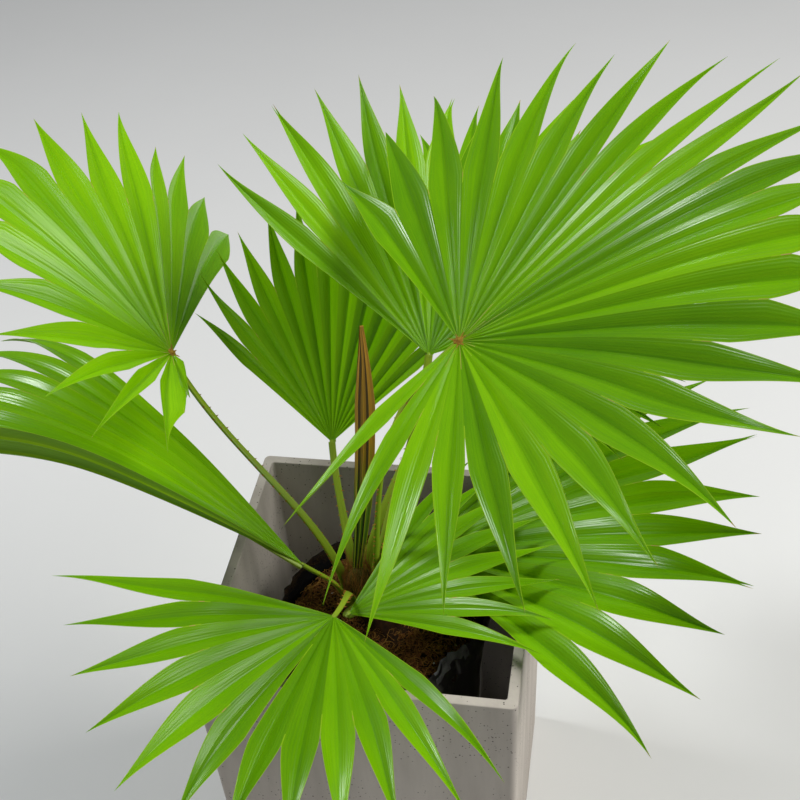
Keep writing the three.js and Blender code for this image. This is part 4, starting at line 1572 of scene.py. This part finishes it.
@dataclass
class StemBase:
    """The short stem: overlapping old sheaths, wrapped in orange-brown fibres.

    long_ones is the share of the fibres that are longer by longer, and stand_off how far their
    tips stray outwards.
    """

    height: float = 46.0
    foot: float = 19.0
    neck: float = 12.0
    flare: float = 12.0
    fibres: int = 320
    fibre_foot: tuple[float, float] = (2.0, 34.0)
    fibre_length: tuple[float, float] = (14.0, 40.0)
    fibre_radius: tuple[float, float] = (0.14, 0.38)
    long_ones: float = 0.07
    longer: float = 45.0
    stand_off: float = 4.0
    seed: int = 9

    def build(self) -> None:
        """Makes the sheathed stem from a circle, then its fibres."""
        rings = []
        for k in range(17):
            level = self.height * k / 16
            radius = self.neck + (self.foot - self.neck) * math.exp(-level / self.flare)
            radius *= 1.0 - 0.17 * max(0, k - 11)
            rings.append((radius, SOIL + 0.3 + level))
        piece = Bench.turned("stem_sheaths", rings, 64)
        for vertex in piece.data.vertices:
            radius = math.hypot(vertex.co.x, vertex.co.y)
            turn = math.atan2(vertex.co.y, vertex.co.x)
            height = vertex.co.z / MM - SOIL
            lap = (turn / (2 * math.pi) * 5 + height * 0.045) % 1.0
            groove = 0.9 * abs(noise_at(math.cos(turn) * 9, math.sin(turn) * 9, height * 0.05))
            radius += (1.5 * (1 - lap) - 1.2 * groove) * MM * min(1.0, radius / 0.006)
            vertex.co.x = radius * math.cos(turn) + STEM[0] * MM
            vertex.co.y = radius * math.sin(turn) + STEM[1] * MM
        Bench.face_out(piece)
        Bench.settle(piece, 50.0, Stuff.SHEATH)
        place(piece, "stem_sheath", "stem_base")
        self._wrap()

    def _wrap(self) -> None:
        """Adds the fibres that wind up round the stem and stand off at its top."""
        chance = np.random.default_rng(self.seed)
        batch = Batch((Stuff.FIBRE,))
        count, steps = self.fibres, 9
        share = np.linspace(0.0, 1.0, steps)
        start = chance.uniform(0.0, 2 * np.pi, (count, 1))
        low = chance.uniform(*self.fibre_foot, (count, 1))
        long = chance.uniform(*self.fibre_length, (count, 1))
        long = long + self.longer * (chance.random((count, 1)) < self.long_ones)
        wind = chance.choice([-1.0, 1.0], (count, 1)) * chance.uniform(0.1, 0.9, (count, 1))
        flare = np.maximum(0.0, chance.normal(0.0, self.stand_off, (count, 1)))
        height = low + long * share
        turn = start + wind * share
        radius = self.neck + (self.foot - self.neck) * np.exp(-height / self.flare) + 1.6
        radius = radius + chance.uniform(0.0, 1.2, (count, 1)) + flare * share ** 2
        radius = radius - 5.0 * np.clip((height - 30.0) / 20.0, 0, 1)
        radius = radius + 4.0 * np.clip((height - 55.0) / 50.0, 0, 1)
        path = np.stack([STEM[0] + radius * np.cos(turn), STEM[1] + radius * np.sin(turn),
                         SOIL + height], axis=-1) * MM
        path += chance.normal(0.0, 0.0003, path.shape)
        thin = chance.uniform(*self.fibre_radius, (count, 1, 1)) * MM
        thin = thin * np.linspace(1.0, 0.4, steps)[:, None]
        Weave.tubes(batch, path, np.array([0.1, 0.1, 1.0]), Weave.round(3), np.repeat(thin, 2, axis=2), 0)
        place(batch.build("stem_fibres"), "stem_sheath")


@dataclass
class SpearLeaf:
    """The unopened young leaf: pleats pressed side by side, parting near the tip.

    ribs has the radius and the finish of the ribs on the outer and on the inner folds. The inner ribs,
    every third panel and the core are dark: painted shade in the pleats.
    """

    foot: tuple[float, float, float] = (*STEM, SOIL + 46.8)
    tip: tuple[float, float, float] = (0.0, 24.0, 680.0)
    belly: float = 10.0
    width: float = 18.0
    depth: float = 6.0
    panels: int = 7
    wall: float = 0.2
    ribs: Sequence[tuple[float, int]] = ((0.5, 1), (0.35, 2))
    stray: float = 0.7
    parts_at: float = 0.65
    narrows_at: float = 0.7
    steps: int = 64

    def build(self) -> None:
        """Makes the pleated panels, a core between them and the ribs along their folds."""
        batch = Batch((Stuff.SPEAR, Stuff.SPEAR_FOLD, Stuff.SPEAR_PLEAT_SHADE))
        foot, tip = np.array(self.foot), np.array(self.tip)
        middle = (foot + tip) / 2 + (self.belly, 0.0, 0.0)
        t = np.linspace(0.0, 1.0, self.steps)[:, None]
        centre = ((1 - t) ** 2 * foot + 2 * t * (1 - t) * middle + t * t * tip) * MM
        t = t[:, 0]
        swell = np.minimum(1.0, 0.5 + 0.5 * t / 0.35)
        narrow = 1 - 0.94 * (np.clip(t - self.narrows_at, 0, 1) / (1 - self.narrows_at)) ** 1.25
        half = self.width / 2 * swell * narrow * MM
        deep = self.depth / 2 * swell * np.sqrt(narrow) * MM
        side = np.array([1.0, 0.1, 0.0])
        back = np.array([-0.1, 1.0, 0.0])
        chance = np.random.default_rng(77)
        for face in (-1.0, 1.0):
            folds = []
            for k in range(self.panels + 1):
                spot = k / self.panels * 2 - 1
                out = face * math.sqrt(1 - spot ** 2 * 0.96) * (0.95 if k % 2 else 0.55)
                free = np.clip((t - self.parts_at) / (1 - self.parts_at), 0, 1)
                stray = chance.normal(0.0, self.stray) * MM * free ** 2
                aside, behind = spot * half + stray, out * deep
                folds.append(centre + side * aside[:, None] + back * behind[:, None])
            for left, right in zip(folds, folds[1:]):
                self._panel(batch, left, right, t)
            thin = np.linspace(1.0, 0.45, self.steps)[:, None]
            # Ribs on the outer folds take the fold finish, those on the inner folds the dark one: painted
            # shade in the valleys.
            for ribs, (thick, dealt) in zip((folds[1::2], folds[0::2]), self.ribs):
                size = np.full((len(ribs), self.steps, 2), thick * MM) * thin
                Weave.tubes(batch, np.array(ribs), back, Weave.round(5), size, dealt)
        # The core takes the dark finish, a painted shade between the pleats.
        core = np.stack([half * 0.8, deep * 0.5], axis=-1)[None]
        Weave.tubes(batch, centre[None], back, Weave.round(12), core, 2)
        place(batch.build("spear_pleats", 40.0), "spear_blade", "spear_leaf")

    def _panel(self, batch: Batch, left: Array, right: Array, t: Array) -> None:
        """Adds one thin panel between two folds.

        Args:
            batch: takes it.
            left: the fold on its left.
            right: the fold on its right.
            t: how far up each point is, from 0 to 1.
        """
        across = Weave.unit(right - left)
        along = Weave.unit(np.gradient((left + right) / 2, axis=0))
        out = Weave.unit(np.cross(along, across)) * self.wall * MM
        rows = np.stack([left + out, right + out, right - out, left - out], axis=1)
        maps = np.zeros((*rows.shape[:2], 2))
        maps[..., 0] = t[:, None] * 0.3
        maps[..., 1] = len(batch.points)
        maps[:, 1:3, 1] += 0.8
        # Every third panel takes the dark finish, a painted shade in the pleats.
        Weave.loft(batch, rows[None], maps[None], 2 if len(batch.points) % 3 == 1 else 0)


# ---------------------------------------------------------------- studio


@dataclass
class Studio:
    """A plain pale floor, soft light and the camera."""

    stand: tuple[float, float, float] = (0.2241, -0.8878, 1.39)
    heading: float = 12.1
    pitch: float = 40.3
    roll: float = 4.3
    lens: float = 61.8

    def build(self) -> None:
        """Sets the studio up."""
        self._camera()
        self._floor()
        self._light("key_panel", (2.5, 0.4, 2.6), (0.0, 0.0, 0.4), 2.0, 104.0, (1.0, 0.985, 0.96))
        self._light("left_panel", (-1.6, 0.25, 2.75), (0.05, 0.0, 0.65), 0.55, 42.0, (0.97, 0.99, 1.0))
        world = bpy.data.worlds.new("studio_air")
        world.use_nodes = True
        air = world.node_tree.nodes["Background"]
        NodeBook(world.node_tree).feed(air, Color=(0.90, 0.94, 1.0, 1.0), Strength=0.17)
        bpy.context.scene.world = world
        bpy.context.scene.view_settings.view_transform = "Standard"

    def _camera(self) -> None:
        """Places the camera by its stand, heading, pitch and roll."""
        heading, pitch, roll = map(math.radians, (self.heading, self.pitch, self.roll))
        look = Vector((-math.sin(heading), math.cos(heading), -math.tan(pitch))) * math.cos(pitch)
        level = Vector((math.cos(heading), math.sin(heading), 0.0))
        rise = level.cross(look)
        right = level * math.cos(roll) - rise * math.sin(roll)
        up = rise * math.cos(roll) + level * math.sin(roll)
        data = bpy.data.cameras.new("camera")
        data.lens = self.lens
        data.sensor_width = 36.0
        camera = bpy.data.objects.new("camera", data)
        bpy.context.scene.collection.objects.link(camera)
        turned = Matrix((right, up, -look)).transposed().to_4x4()
        camera.matrix_world = Matrix.Translation(self.stand) @ turned
        bpy.context.scene.camera = camera

    @staticmethod
    def _floor() -> None:
        """Lays the floor under the planter."""
        Bench.clear()
        bpy.ops.mesh.primitive_plane_add(size=12.0, location=(0.0, 0.0, -0.0005))
        floor = bpy.context.object
        floor.name = floor.data.name = "floor"
        Bench.settle(floor, 35.0, Stuff.FLOOR)

    @staticmethod
    def _light(name: str, stand: tuple[float, float, float], aim: tuple[float, float, float],
               size: float, power: float, colour: Colour) -> None:
        """Adds a square soft light.

        Args:
            name: its name.
            stand: where it hangs, in metres.
            aim: the point that it faces.
            size: its side in metres.
            power: its power in watts.
            colour: its colour.
        """
        data = bpy.data.lights.new(name, "AREA")
        data.size = size
        data.energy = power
        data.color = colour
        light = bpy.data.objects.new(name, data)
        bpy.context.scene.collection.objects.link(light)
        light.location = stand
        light.rotation_euler = (Vector(aim) - Vector(stand)).to_track_quat("-Z", "Y").to_euler()


def main() -> None:
    """Builds everything in order."""
    logging.basicConfig(level=logging.INFO, format="%(name)s: %(message)s")
    Studio().build()
    Planter().build()
    NurseryBag().build()
    RootBall().build()
    StemBase().build()
    SpearLeaf().build()
    for fan in FANS:
        Petiole(fan).build()
        Blade(fan).build()


if __name__ == "__main__":
    main()
